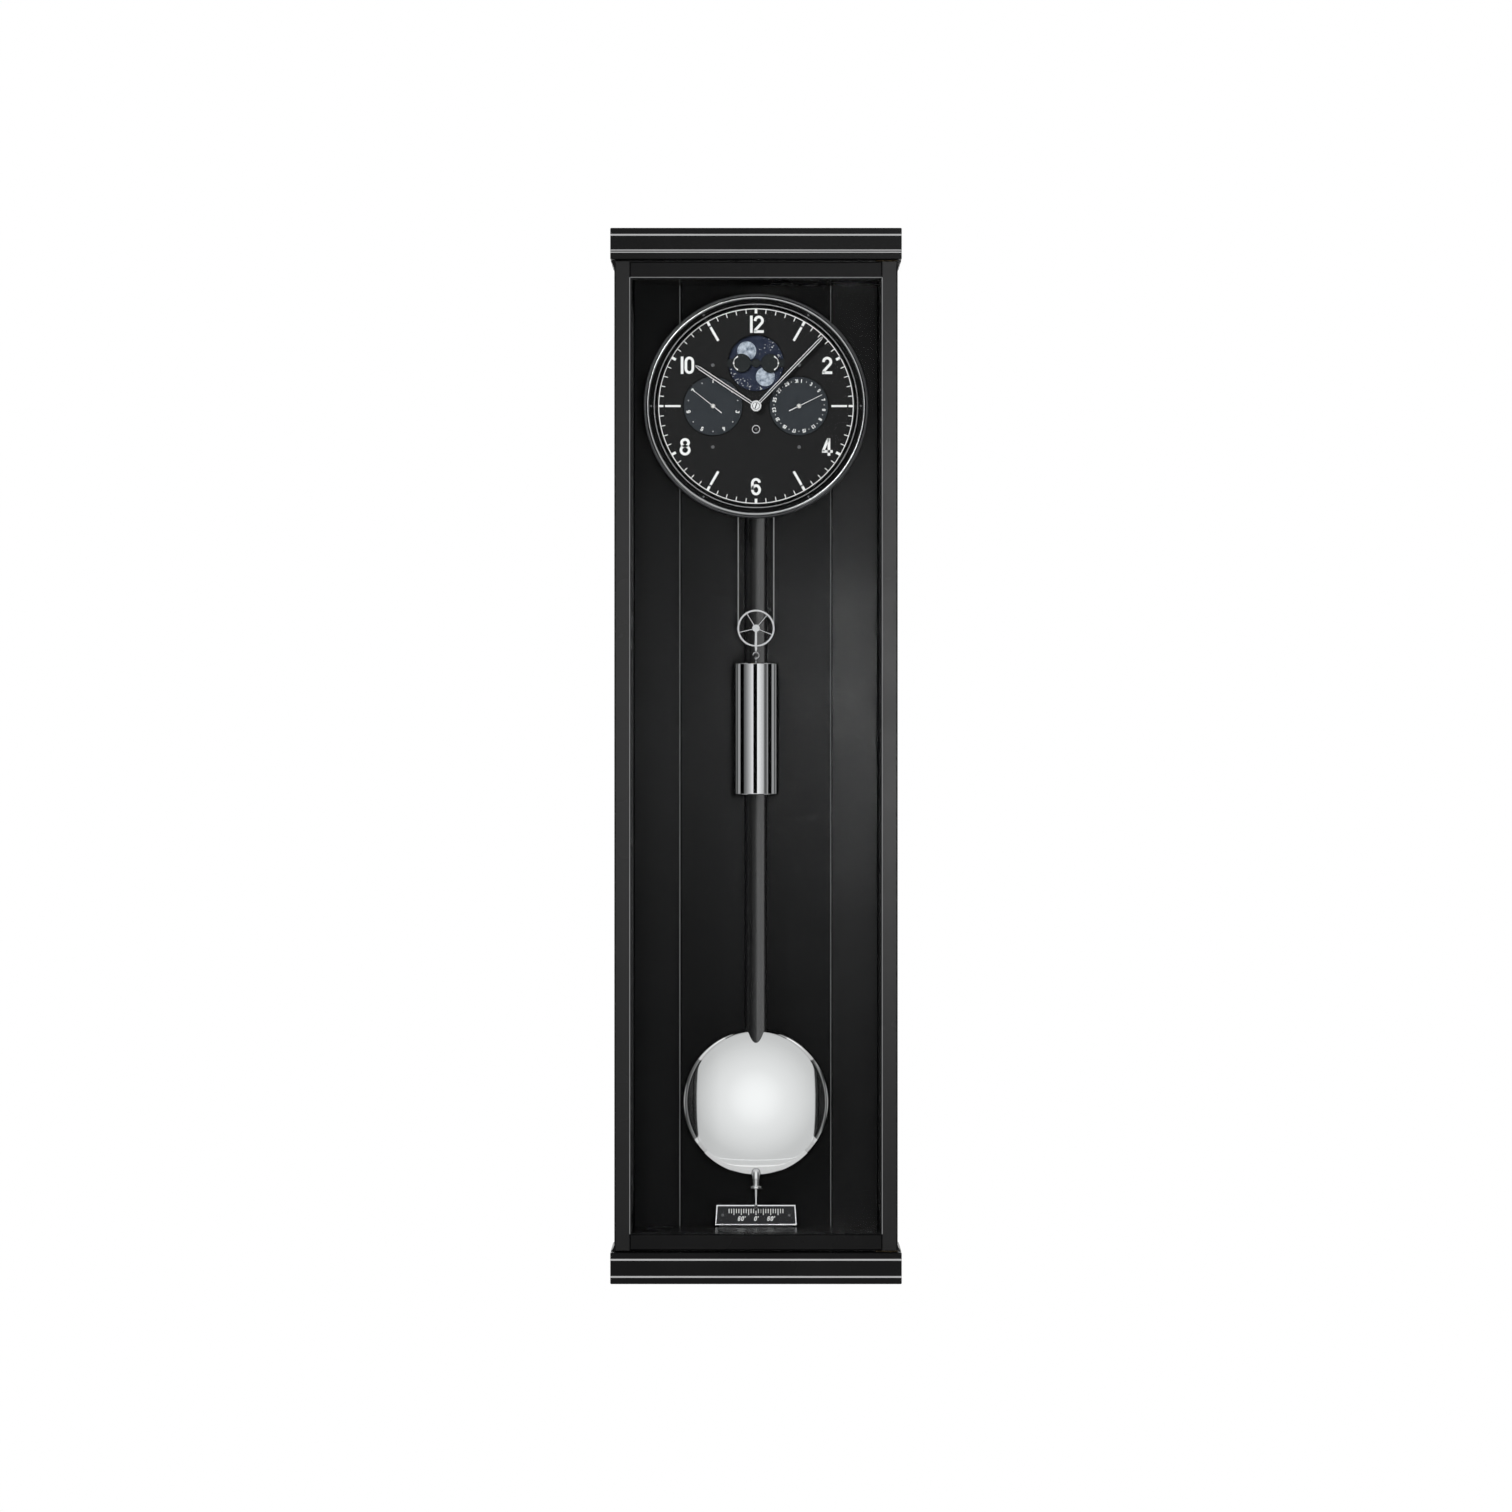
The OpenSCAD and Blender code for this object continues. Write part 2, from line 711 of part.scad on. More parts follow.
module door_stiles() {
    color([0.022, 0.022, 0.024]) {
        // left stile with the strike let into its back
        difference() {
            translate([-body_w / 2, door_back, door_bottom]) linear_extrude(door_h) member_section(stile_w);
            translate([-catch_x, door_back + cut, catch_z]) rotate([90, 0, 0])
                cylinder(d = catch_d, h = strike_t + cut);
        }
        // right stile with a rounded heel around the hinge pins
        difference() {
            union() {
                translate([body_w / 2, door_back, door_bottom]) mirror([1, 0, 0])
                    linear_extrude(door_h)
                        difference() {
                            member_section(stile_w);
                            translate([-cut, -heel_r]) square([heel_r + cut, heel_r + cut]);
                        }
                translate([hinge_x, hinge_y, door_bottom]) cylinder(r = heel_r, h = door_h);
            }
            for (z = [door_bottom - cut, door_top - hinge_pin_len - cut])
                translate([hinge_x, hinge_y, z]) cylinder(r = hinge_pin_d / 2 + run_gap, h = hinge_pin_len + 2 * cut);
        }
    }
}

module door_rail(w) {
    translate([sight_w / 2 + rebate_w, 0, 0]) rotate([0, -90, 0])
        linear_extrude(sight_w + 2 * rebate_w) member_section(w);
}

module door_rails() {
    color([0.022, 0.022, 0.024])
        for (end = [0, 1])
            difference() {
                translate([0, door_back, end == 0 ? door_bottom : door_top])
                    mirror([0, 0, end]) door_rail(end == 0 ? bottom_rail_w : top_rail_w);
                // the ends are cut to fit round the stiles
                for (s = [-1, 1]) scale([s, 1, 1])
                    translate([sight_w / 2, door_front - cut, door_bottom - cut])
                        cube([stile_w, glass_setback + cut, door_h + 2 * cut]);
            }
}

module door_glass() {
    g = glass_side_gap;
    color([0.8, 0.9, 0.9, 0.25])
        translate([-sight_w / 2 - rebate_w + g, glass_front, sight_bottom - rebate_w + g])
            cube([sight_w + 2 * rebate_w - 2 * g, glass_t, sight_top - sight_bottom + 2 * rebate_w - 2 * g]);
}

module door_beads() {
    g = glass_side_gap;
    depth = door_back - glass_back;
    w = sight_w + 2 * rebate_w - 2 * g;
    color([0.022, 0.022, 0.024]) {
        for (s = [-1, 1])
            translate([s * (sight_w + rebate_w) / 2 - rebate_w / 2 + (s > 0 ? 0 : g), glass_back, sight_bottom - rebate_w + g])
                cube([rebate_w - g, depth, sight_top - sight_bottom + 2 * rebate_w - 2 * g]);
        for (z = [sight_bottom - rebate_w + g, sight_top])
            translate([-sight_w / 2, glass_back, z]) cube([sight_w, depth, rebate_w - g]);
    }
}

module door_strike() {
    color([0.55, 0.56, 0.58])
        translate([-catch_x, door_back, catch_z]) rotate([90, 0, 0]) cylinder(d = catch_d, h = strike_t);
}

// movement frame

// places children on the axis at [x, z] from the dial's centre, with their +Z forward from the plane y
module on_axis(at, y) {
    translate([at[0], y, dial_z + at[1]]) rotate([90, 0, 0]) children();
}

bracket_t = 6;
bracket_side_inset = 4;
bracket_half_w = plate_half_w - bracket_side_inset;
bracket_inset = 2;
post_bore_len = 6;
bracket_post_d = 8;
cock_w = 14;
cock_arm_rise = 5;
cock_arm_h = 6;
bracket_top = pivot_rise + cock_arm_rise + cock_arm_h + 1;
cheek_drop = 4;
cheek_t = 3.5;
chop_d = 8;
chop_w = 5;
cross_pin_d = 2;
chop_gap = 0.3;

module movement_bracket() {
    color([0.35, 0.35, 0.37])
        difference() {
            union() {
                translate([-bracket_half_w, back_front - bracket_t, dial_z - plate_down + bracket_inset])
                    cube([2 * bracket_half_w, bracket_t, bracket_top + plate_down - bracket_inset]);
                for (p = pillar_spots) on_axis(p, back_front - bracket_t / 2)
                    cylinder(d = bracket_post_d, h = back_front - bracket_t / 2 - back_face);
            }
            for (p = pillar_spots) on_axis(p, back_face + post_bore_len)
                cylinder(d = plate_screw_d, h = post_bore_len + cut);
        }
}

// two cheeks that hold the ends of the suspension's cross pin
module suspension_cock() {
    arm_rear = back_front - bracket_t;
    cheek_front = pendulum_y - chop_d / 2 - chop_gap;
    cheek_rear = pendulum_y + chop_d / 2 + chop_gap + cheek_t;
    color([0.62, 0.63, 0.66])
        difference() {
            union() {
                translate([-cock_w / 2, cheek_front - cheek_t, pivot_z + cock_arm_rise])
                    cube([cock_w, arm_rear - cheek_front + cheek_t, cock_arm_h]);
                for (y = [cheek_front - cheek_t, cheek_rear - cheek_t])
                    translate([-cock_w / 2, y, pivot_z - cheek_drop])
                        cube([cock_w, cheek_t, cheek_drop + cock_arm_rise + cock_arm_h / 2]);
            }
            translate([0, cheek_rear + cut, pivot_z]) rotate([90, 0, 0])
                cylinder(d = cross_pin_d + 2 * run_gap, h = cheek_rear - cheek_front + cheek_t + 2 * cut);
        }
}

module plate_outline() {
    translate([-plate_half_w, -plate_down]) square([2 * plate_half_w, plate_up + plate_down]);
}

module hole(at, d) {
    translate([at[0], at[1], -cut]) cylinder(d = d, h = plate_t + 2 * cut);
}

module back_plate() {
    color([0.72, 0.6, 0.32])
        on_axis(centre_at, back_face)
            difference() {
                linear_extrude(plate_t) plate_outline();
                for (at = [middle_at, third_at, escape_at, centre_at, barrel_at]) hole(at, pivot_d + 2 * run_gap);
                hole(anchor_at, anchor_arbor_d + 2 * run_gap);
                for (p = concat(pillar_spots, [post_at])) hole(p, plate_screw_d);
            }
}

module front_plate() {
    color([0.72, 0.6, 0.32])
        on_axis(centre_at, front_inner) {
            difference() {
                linear_extrude(plate_t) plate_outline();
                for (at = [middle_at, third_at, escape_at, anchor_at]) hole(at, pivot_d + 2 * run_gap);
                hole(centre_at, centre_front_d + 2 * run_gap);
                hole(barrel_at, barrel_front_d + 2 * run_gap);
                for (x = [-1, 1]) hole([x * subdial_offset, 0], calendar_pivot_d + 2 * run_gap);
                hole([0, subdial_offset], calendar_pivot_d + 2 * run_gap);
                for (p = concat(pillar_spots, [post_at])) hole(p, plate_screw_d);
                for (x = [-1, 1], z = [-1, 1]) hole([x * dial_screw_x, z * dial_screw_z], dial_post_foot_d);
            }
            // stud that the minute wheel turns on
            translate([minute_wheel_at[0], minute_wheel_at[1], plate_t])
                cylinder(d = arbor_d, h = motion_plane - hour_plane + motion_t + 1);
        }
}

dial_post_foot_d = 3;

module movement_pillars() {
    color([0.78, 0.66, 0.36]) {
        for (p = pillar_spots) on_axis(p, back_inner)
            difference() {
                cylinder(d = pillar_d, h = plate_gap);
                translate([0, 0, plate_gap - plate_screw_len]) cylinder(d = plate_screw_d, h = plate_screw_len + cut);
            }
        // post between the plates, with the hole for the fixed end of the line
        on_axis(post_at, back_face) {
            difference() {
                translate([0, 0, plate_t]) cylinder(d = post_d, h = plate_gap);
                translate([0, 0, back_face - weight_y]) rotate([90, 0, 0]) cylinder(d = line_d + 2 * run_gap, h = post_d);
            }
            cylinder(d = plate_screw_d, h = plate_t);
            translate([0, 0, plate_t + plate_gap]) cylinder(d = plate_screw_d, h = plate_t);
        }
        for (x = [-1, 1], z = [-1, 1]) on_axis([x * dial_screw_x, z * dial_screw_z], front_inner)
            difference() {
                union() {
                    cylinder(d = dial_post_foot_d, h = plate_t);
                    translate([0, 0, plate_t]) cylinder(d = dial_post_d, h = dial_space - dial_t);
                }
                translate([0, 0, plate_t + dial_space - dial_t - 3]) cylinder(d = dial_shank_d, h = 3 + cut);
            }
    }
}

dial_shank_d = 1.6;

// wheels

// half of a tooth's angle at radius r
function half_tooth(n, m, r) =
    let (rp = n * m / 2, rb = rp * cos(pressure_angle))
    90 / n - tooth_play / rp * 90 / PI + involute(rp, rb) - involute(max(r, rb), rb);
function involute(r, rb) = sqrt(pow(r / rb, 2) - 1) * 180 / PI - acos(rb / r);
function polar(r, a) = [r * cos(a), r * sin(a)];

// outline of a gear with its first tooth at angle phase
module gear_outline(n, m, addendum, phase) {
    rp = n * m / 2;
    rb = rp * cos(pressure_angle);
    ra = rp + addendum * m;
    rr = rp - dedendum * m;
    tip = half_tooth(n, m, ra);
    pitch = half_tooth(n, m, rp);
    root = rr < rb ? half_tooth(n, m, rb) * root_relief : half_tooth(n, m, rr);
    polygon([for (i = [0 : n - 1]) let (a = phase + i * 360 / n)
        each [polar(rr, a - root), polar(rp, a - pitch), polar(ra, a - tip),
              polar(ra, a + tip), polar(rp, a + pitch), polar(rr, a + root)]]);
}

// the windows between the spokes of a wheel
module windows(r_in, r_out, spokes, w, turn = 0) {
    difference() {
        circle(r = r_out);
        circle(r = r_in);
        for (i = [0 : spokes - 1]) rotate(turn + i * 360 / spokes) translate([0, -w / 2]) square([r_out + 1, w]);
    }
}

module spoked_wheel(n, m, t, phase, hub_r, spoke_w) {
    rim = n * m / 2 - dedendum * m - 1.2;
    linear_extrude(t)
        difference() {
            gear_outline(n, m, wheel_addendum, phase);
            windows(hub_r, rim, 5, spoke_w);
        }
}

module pinion(n, m, t, phase) {
    linear_extrude(t) gear_outline(n, m, pinion_addendum, phase);
}

// arbor between the plates with a pivot at each end, drawn forward from the back plate's outside
module arbor(d, end_clear = 0.2) {
    cylinder(d = pivot_d, h = 2 * plate_t + plate_gap);
    translate([0, 0, plate_t + end_clear]) cylinder(d = d, h = plate_gap - 2 * end_clear);
}

module line_drum() {
    tooth_h = 1.2;
    body_start = drum_plane - ratchet_t;
    color([0.74, 0.62, 0.34]) {
        on_axis(barrel_at, back_face) {
            cylinder(d = pivot_d, h = plate_t + 1);
            translate([0, 0, plate_t + 0.2]) cylinder(d = barrel_arbor_d, h = plate_gap - 0.4);
            translate([0, 0, plate_t + plate_gap - 0.2]) cylinder(d = barrel_front_d, h = plate_t + 0.4);
            translate([0, 0, 2 * plate_t + plate_gap]) cylinder(d = winding_neck_d, h = winding_neck_len);
        }
        on_axis(barrel_at, dial_y + winding_square_setback + winding_square_len)
            linear_extrude(winding_square_len) square(winding_square, center = true);
        on_axis(barrel_at, drum_plane)
            linear_extrude(ratchet_t)
                polygon([for (i = [0 : ratchet_teeth - 1]) let (a = click_tip_angle + 1.3 + i * 360 / ratchet_teeth)
                    each [polar(ratchet_r - tooth_h, a), polar(ratchet_r, a + 1)]]);
        on_axis(barrel_at, body_start) {
            cylinder(r = drum_flange_r, h = flange_t, $fn = 96);
            cylinder(r = drum_core_r, h = body_start - drum_len, $fn = 96);
        }
        on_axis(barrel_at, drum_len + flange_t) cylinder(r = drum_flange_r, h = flange_t, $fn = 96);
    }
}

module great_wheel() {
    color([0.8, 0.68, 0.38])
        on_axis(barrel_at, great_plane)
            difference() {
                union() {
                    linear_extrude(great_t) gear_outline(great_teeth, great_module, wheel_addendum, 0);
                    cylinder(r = 3, h = great_t + 0.6);
                    translate([click_r * cos(click_angle), click_r * sin(click_angle), 0])
                        cylinder(d = click_pin_d, h = great_t + click_gap + click_t);
                }
                translate([0, 0, -cut]) cylinder(d = barrel_arbor_d + 2 * run_gap, h = great_t + 1 + 2 * cut);
            }
}

click_r = 12.9;
click_angle = 250;
click_pin_d = 1;
click_gap = 0.3;
click_t = 1;
click_eye_r = 1.1;
click_len = 6.2;
ratchet_r = 11;
ratchet_teeth = 30;
// the beak's tip lies just outside the ratchet's teeth, at the length of the click from its pin
click_tip_r = ratchet_r + 0.1;
click_tip_angle = click_angle + acos((click_r * click_r + click_tip_r * click_tip_r - click_len * click_len)
                                     / (2 * click_r * click_tip_r));

module click() {
    pin = polar(click_r, click_angle);
    tip = polar(click_tip_r, click_tip_angle);
    color([0.6, 0.62, 0.68])
        on_axis(barrel_at, great_plane - great_t - click_gap)
            linear_extrude(click_t)
                difference() {
                    union() {
                        translate(pin) circle(r = click_eye_r);
                        polygon([pin + polar(click_eye_r, click_angle), tip + polar(0.9, click_tip_angle - 20), tip,
                                 polar(ratchet_r + 0.75, click_tip_angle - 6), polar(ratchet_r + 0.9, click_angle + 12),
                                 pin + polar(click_eye_r, click_angle + 180)]);
                    }
                    translate(pin) circle(d = click_pin_d + 2 * run_gap);
                }
}

module intermediate_wheel() {
    color([0.8, 0.68, 0.38]) {
        on_axis(middle_at, back_face) arbor(arbor_d);
        on_axis(middle_at, middle_plane) spoked_wheel(middle_teeth, middle_module, wheel_t, 0, 3, 1.6);
        on_axis(middle_at, great_plane + pinion_over)
            pinion(great_pinion_teeth, great_module, great_t + 2 * pinion_over, great_pinion_phase);
    }
}

module centre_wheel() {
    color([0.8, 0.68, 0.38]) {
        on_axis(centre_at, back_face) {
            cylinder(d = pivot_d, h = plate_t + 1);
            translate([0, 0, plate_t + 0.2]) cylinder(d = centre_arbor_d, h = plate_gap - 0.4);
            translate([0, 0, plate_t + 1])
                cylinder(d = centre_front_d, h = back_inner - minute_hand_plane + hand_t - 0.6);
        }
        on_axis(centre_at, centre_plane) spoked_wheel(centre_teeth, centre_module, wheel_t, 0, 3, 1.6);
        on_axis(centre_at, middle_plane + pinion_over)
            pinion(middle_pinion_teeth, middle_module, wheel_t + 2 * pinion_over, middle_pinion_phase);
    }
}

module third_wheel() {
    color([0.8, 0.68, 0.38]) {
        on_axis(third_at, back_face) arbor(arbor_d);
        on_axis(third_at, third_plane) spoked_wheel(third_teeth, third_module, wheel_t, 0, 2.6, 1.4);
        on_axis(third_at, centre_plane + pinion_over)
            pinion(third_pinion_teeth, centre_module, wheel_t + 2 * pinion_over, third_pinion_phase);
    }
}

module escape_wheel() {
    root_r = escape_r - 2.2;
    pitch = 360 / escape_teeth;
    color([0.8, 0.68, 0.38]) {
        on_axis(escape_at, back_face) arbor(escape_arbor_d);
        on_axis(escape_at, escape_plane)
            linear_extrude(wheel_t)
                difference() {
                    // teeth lean clockwise, the way the wheel turns
                    polygon([for (i = [0 : escape_teeth - 1]) let (a = i * pitch)
                        each [polar(escape_r, a - 0.3), polar(escape_r, a + 0.3),
                              polar(root_r, a + 3.2), polar(root_r, a + pitch + 1.2)]]);
                    windows(2.2, root_r - 1.2, 5, 1.2);
                }
        on_axis(escape_at, third_plane + pinion_over)
            pinion(escape_pinion_teeth, third_module, wheel_t + 2 * pinion_over, escape_pinion_phase);
    }
}

escape_arbor_d = 1.3;

module pallet_anchor() {
    pallet_w = 0.8;
    pallet_start = escape_r + pallet_clear;
    pallet_end = escape_r + 3.5;
    arm_w = 2.4;
    drop = pivot_rise - escape_at[1];
    color([0.6, 0.62, 0.66]) {
        on_axis(anchor_at, back_face + crutch_space) {
            // the arbor reaches behind the back plate to carry the crutch
            cylinder(d = anchor_arbor_d, h = crutch_space + plate_t + plate_gap - 0.2);
            cylinder(d = pivot_d, h = crutch_space + 2 * plate_t + plate_gap);
        }
        on_axis(anchor_at, escape_plane)
            linear_extrude(wheel_t) {
                circle(r = 3);
                for (s = [-1, 1]) {
                    foot = [s * pallet_end * sin(pallet_half_span), pallet_end * cos(pallet_half_span) - drop];
                    rotate(atan2(foot[1], foot[0])) translate([0, -arm_w / 2]) square([norm(foot), arm_w]);
                    translate([0, -drop]) rotate(90 - s * pallet_half_span) translate([pallet_start, -pallet_w / 2])
                        square([pallet_end - pallet_start + 0.6, pallet_w]);
                }
            }
    }
}

crutch_space = 5;
crutch_t = 1.6;
crutch_len = 42;
prong_w = 2;
prong_gap = 0.1;

module crutch() {
    y0 = back_face + crutch_space - 0.4;
    reach = y0 - crutch_t;
    color([0.6, 0.62, 0.66]) {
        on_axis(anchor_at, y0)
            linear_extrude(crutch_t)
                difference() {
                    union() {
                        circle(r = 3.6);
                        translate([-1.5, -crutch_len]) square([3, crutch_len]);
                        translate([-rod_d / 2 - prong_gap - prong_w, -crutch_len - 2])
                            square([rod_d + 2 * (prong_gap + prong_w), 4]);
                    }
                    circle(d = anchor_arbor_d);
                }
        // the two prongs reach back on either side of the rod
        for (s = [-1, 1])
            translate([s * (rod_d / 2 + prong_gap + prong_w / 2) - prong_w / 2, y0, pivot_z - crutch_len - 2])
                cube([prong_w, pendulum_y + 4 - y0, 4]);
    }
}

// pendulum

spring_len = 10;
spring_t = 0.2;
chop_h = 6;
ferrule_h = 10;
rod_top = pivot_z - chop_h / 2 - spring_len - chop_h / 2 - ferrule_h;

module pendulum_suspension() {
    color([0.62, 0.63, 0.66])
        translate([0, pendulum_y, 0]) {
            translate([-chop_w / 2, -chop_d / 2, pivot_z - chop_h / 2]) cube([chop_w, chop_d, chop_h]);
            translate([0, chop_d / 2 + chop_gap + cheek_t + 0.5, pivot_z]) rotate([90, 0, 0])
                cylinder(d = cross_pin_d, h = chop_d + 2 * (chop_gap + cheek_t + 0.5));
            translate([-spring_t / 2, -chop_d / 2, rod_top + ferrule_h])
                cube([spring_t, chop_d, pivot_z - rod_top - ferrule_h]);
            translate([-chop_w / 2, -chop_d / 2, rod_top + ferrule_h]) cube([chop_w, chop_d, chop_h / 2]);
            translate([0, 0, rod_top]) cylinder(d = rod_d, h = ferrule_h);
        }
}

rod_seat_gap = 0.05;

module pendulum_rod() {
    color([0.03, 0.03, 0.032])
        translate([0, pendulum_y, bob_z]) cylinder(d = rod_d, h = rod_top - bob_z);
}

// the bob's face is a shallow cap, and its edge is rounded from there down to the rim
bob_face_r = bob_d / 2 - bob_edge_w;
bob_sag = (bob_t - bob_edge_t) / 2;
bob_cap_r = (bob_face_r * bob_face_r + bob_sag * bob_sag) / (2 * bob_sag);
bob_edge_a = asin(bob_face_r / bob_cap_r);
bob_edge_drop = (bob_edge_t - bob_rim_t) / 2;
bob_edge_r = (bob_edge_w * bob_edge_w + bob_edge_drop * bob_edge_drop)
    / (2 * (bob_edge_drop * cos(bob_edge_a) - bob_edge_w * sin(bob_edge_a)));
bob_edge_mid = [bob_face_r - bob_edge_r * sin(bob_edge_a), bob_edge_t / 2 - bob_edge_r * cos(bob_edge_a)];
bob_rim_a = 90 - asin((bob_rim_t / 2 - bob_edge_mid[1]) / bob_edge_r);
bob_half = concat(
    [for (i = [0 : 12]) let (a = bob_edge_a * i / 12) [bob_cap_r * sin(a), bob_t / 2 - bob_cap_r * (1 - cos(a))]],
    [for (i = [1 : 8]) let (a = bob_edge_a + (bob_rim_a - bob_edge_a) * i / 8)
        bob_edge_mid + bob_edge_r * [sin(a), cos(a)]]);
bob_last = len(bob_half) - 1;
sleeve_top_drop = bob_d / 2 - sleeve_slot_h + sleeve_d / 2 + rod_seat_gap;
tip_core_d = 4;
tip_core_len = 24;

module pendulum_bob() {
    slot_r = sleeve_d / 2 + rod_seat_gap;
    color([0.85, 0.85, 0.86])
        translate([0, pendulum_y, bob_z])
            difference() {
                rotate([90, 0, 0]) rotate_extrude($fn = 128)
                    polygon(concat(bob_half, [for (i = [bob_last : -1 : 0]) [bob_half[i][0], -bob_half[i][1]]]));
                cylinder(r = rod_d / 2 + rod_seat_gap, h = bob_d);
                translate([0, 0, -sleeve_top_drop]) {
                    rotate([90, 0, 0]) cylinder(r = slot_r, h = bob_t, center = true);
                    translate([-slot_r, -bob_t / 2, -bob_d / 2]) cube([2 * slot_r, bob_t, bob_d / 2]);
                    cylinder(r = tip_core_d / 2 + rod_seat_gap, h = tip_core_len + 1);
                }
            }
}

sleeve_show = 2.5;
sleeve_end = bob_d / 2 + sleeve_show;
collar_d = 4.8;
collar_flare_d = 6.2;
collar_h = 2.9;
flare_h = 2.5;
nut_flange_d = 9.8;
nut_flange_t = 1.9;
tip_rod_d = 2.4;
tip_cone_h = 4;

module pendulum_tip() {
    color([0.7, 0.71, 0.73])
        translate([0, pendulum_y, bob_z]) {
            translate([0, 0, -sleeve_end]) cylinder(d = sleeve_d, h = sleeve_end - sleeve_top_drop);
            translate([0, 0, -sleeve_top_drop]) {
                sphere(d = sleeve_d);
                cylinder(d = tip_core_d, h = tip_core_len);
            }
            translate([0, 0, tip_cone_h - tip_drop]) cylinder(d = tip_rod_d, h = tip_drop - tip_cone_h - sleeve_top_drop);
            translate([0, 0, -tip_drop]) cylinder(d1 = 0.4, d2 = tip_rod_d, h = tip_cone_h);
        }
}

module rating_nut() {
    start = bob_z - sleeve_end - 0.2;
    nut_h = collar_h + flare_h + nut_flange_t;
    color([0.75, 0.76, 0.78])
        translate([0, pendulum_y, start])
            difference() {
                union() {
                    translate([0, 0, -collar_h]) cylinder(d = collar_d, h = collar_h);
                    translate([0, 0, -collar_h - flare_h]) cylinder(d = collar_flare_d, h = flare_h);
                    translate([0, 0, -nut_h]) cylinder(d = nut_flange_d, h = nut_flange_t);
                }
                translate([0, 0, -nut_h - cut]) cylinder(d = tip_rod_d + 2 * run_gap, h = nut_h + 2 * cut);
            }
}

// weight, pulley and line

groove_bottom = line_r - line_d / 2 - 0.15;
pulley_w = 4;
pulley_hub_d = 5.6;
pulley_hub_w = 4.8;
pulley_rim_r = 12.3;
pulley_axle_d = 2.4;
stirrup_gap = 0.25;
stirrup_t = 1;
stirrup_w = 1.6;
stirrup_end = 16.4;
hook_drop = 20.4;
hook_r = 2.25;
hook_wire_d = 1.5;
hook_stem_d = 1.9;
eye_r = 1.7;
eye_wire_d = 1;

module pulley() {
    color([0.72, 0.73, 0.75])
        translate([0, weight_y + pulley_w / 2, pulley_z]) rotate([90, 0, 0])
            difference() {
                union() {
                    difference() {
                        cylinder(d = pulley_d, h = pulley_w, $fn = 96);
                        translate([0, 0, -cut]) cylinder(r = pulley_rim_r, h = pulley_w + 2 * cut, $fn = 96);
                        // groove for the line
                        rotate_extrude($fn = 96) polygon([[groove_bottom, pulley_w / 2 - 0.65], [groove_bottom, pulley_w / 2 + 0.65],
                            [pulley_d / 2 + 1, pulley_w - 0.2], [pulley_d / 2 + 1, 0.2]]);
                    }
                    translate([0, 0, pulley_w / 2 - 0.8]) linear_extrude(1.6)
                        for (i = [0 : 4]) rotate(-40 + 90 + i * 72) translate([0, -0.6]) square([pulley_rim_r + 0.1, 1.2]);
                    translate([0, 0, (pulley_w - pulley_hub_w) / 2]) cylinder(d = pulley_hub_d, h = pulley_hub_w);
                }
                translate([0, 0, -1]) cylinder(d = pulley_axle_d + 2 * run_gap, h = pulley_w + 2);
            }
}

module pulley_stirrup() {
    half = pulley_hub_w / 2 + stirrup_gap;
    color([0.72, 0.73, 0.75])
        translate([0, weight_y, pulley_z]) {
            for (s = [-1, 1]) {
                translate([-stirrup_w / 2, s * (half + stirrup_t / 2) - stirrup_t / 2, -stirrup_end])
                    cube([stirrup_w, stirrup_t, stirrup_end]);
                translate([0, s * (half + stirrup_t / 2) + stirrup_t / 2, 0]) rotate([90, 0, 0])
                    cylinder(d = pulley_hub_d, h = stirrup_t);
            }
            translate([0, half + 0.1, 0]) rotate([90, 0, 0]) cylinder(d = pulley_axle_d, h = 2 * half + 0.2);
            translate([-stirrup_w / 2, -half - stirrup_t, -stirrup_end - 0.4])
                cube([stirrup_w, 2 * (half + stirrup_t), 1.4]);
            // stem and open hook
            translate([0, 0, -hook_drop + hook_r - 0.3]) cylinder(d = hook_stem_d, h = hook_drop - stirrup_end - hook_r + 0.6);
            translate([0, 0, -hook_drop]) rotate([90, 0, 0]) rotate(-120) rotate_extrude(angle = 300)
                translate([hook_r, 0]) circle(d = hook_wire_d);
        }
}

module weight() {
    edge = 0.6;
    eye_z = weight_drop - hook_drop - hook_r + hook_wire_d / 2 + eye_wire_d / 2 + 0.05 - eye_r;
    color([0.86, 0.86, 0.87])
        translate([0, weight_y, weight_top]) {
            rotate_extrude($fn = 96)
                polygon([[0, 0], [weight_d / 2 - edge, 0], [weight_d / 2, -edge],
                         [weight_d / 2, edge - weight_len], [weight_d / 2 - edge, -weight_len], [0, -weight_len]]);
            translate([0, 0, -0.2]) cylinder(d = 2.2, h = eye_z - eye_r + 0.5);
            translate([0, 0, eye_z]) rotate([0, 90, 0]) rotate_extrude() translate([eye_r, 0]) circle(d = eye_wire_d);
        }
}

module weight_line() {
    color([0.5, 0.5, 0.48])
        translate([0, weight_y, 0]) {
            translate([line_r, 0, pulley_z]) cylinder(d = line_d, h = barrel_z - pulley_z);
            translate([-line_r, 0, pulley_z]) cylinder(d = line_d, h = dial_z + post_at[1] - post_d / 4 - pulley_z);
            translate([0, 0, pulley_z]) rotate([90, 0, 0]) rotate(180) rotate_extrude(angle = 180, $fn = 96)
                translate([line_r, 0]) circle(d = line_d);
        }
}

// dial

module ring_on_dial(points) {
    on_axis(centre_at, dial_y) rotate_extrude($fn = 128) polygon(points);
}

module bezel() {
    bead_r = (bezel_r - channel_r - 1.3) / 2;
    lip = bezel_rise - bead_r;
    color([0.8, 0.8, 0.81])
        on_axis(centre_at, dial_y)
            rotate_extrude($fn = 128) {
                polygon([[channel_r, -bezel_skirt], [bezel_r, -bezel_skirt], [bezel_r, lip - 0.9],
                         [bezel_r - 0.3, lip - 0.6], [bezel_r - 1.3, lip - 0.6], [bezel_r - 1.3, lip], [channel_r, lip]]);
                translate([channel_r + bead_r, lip]) circle(r = bead_r);
            }
}

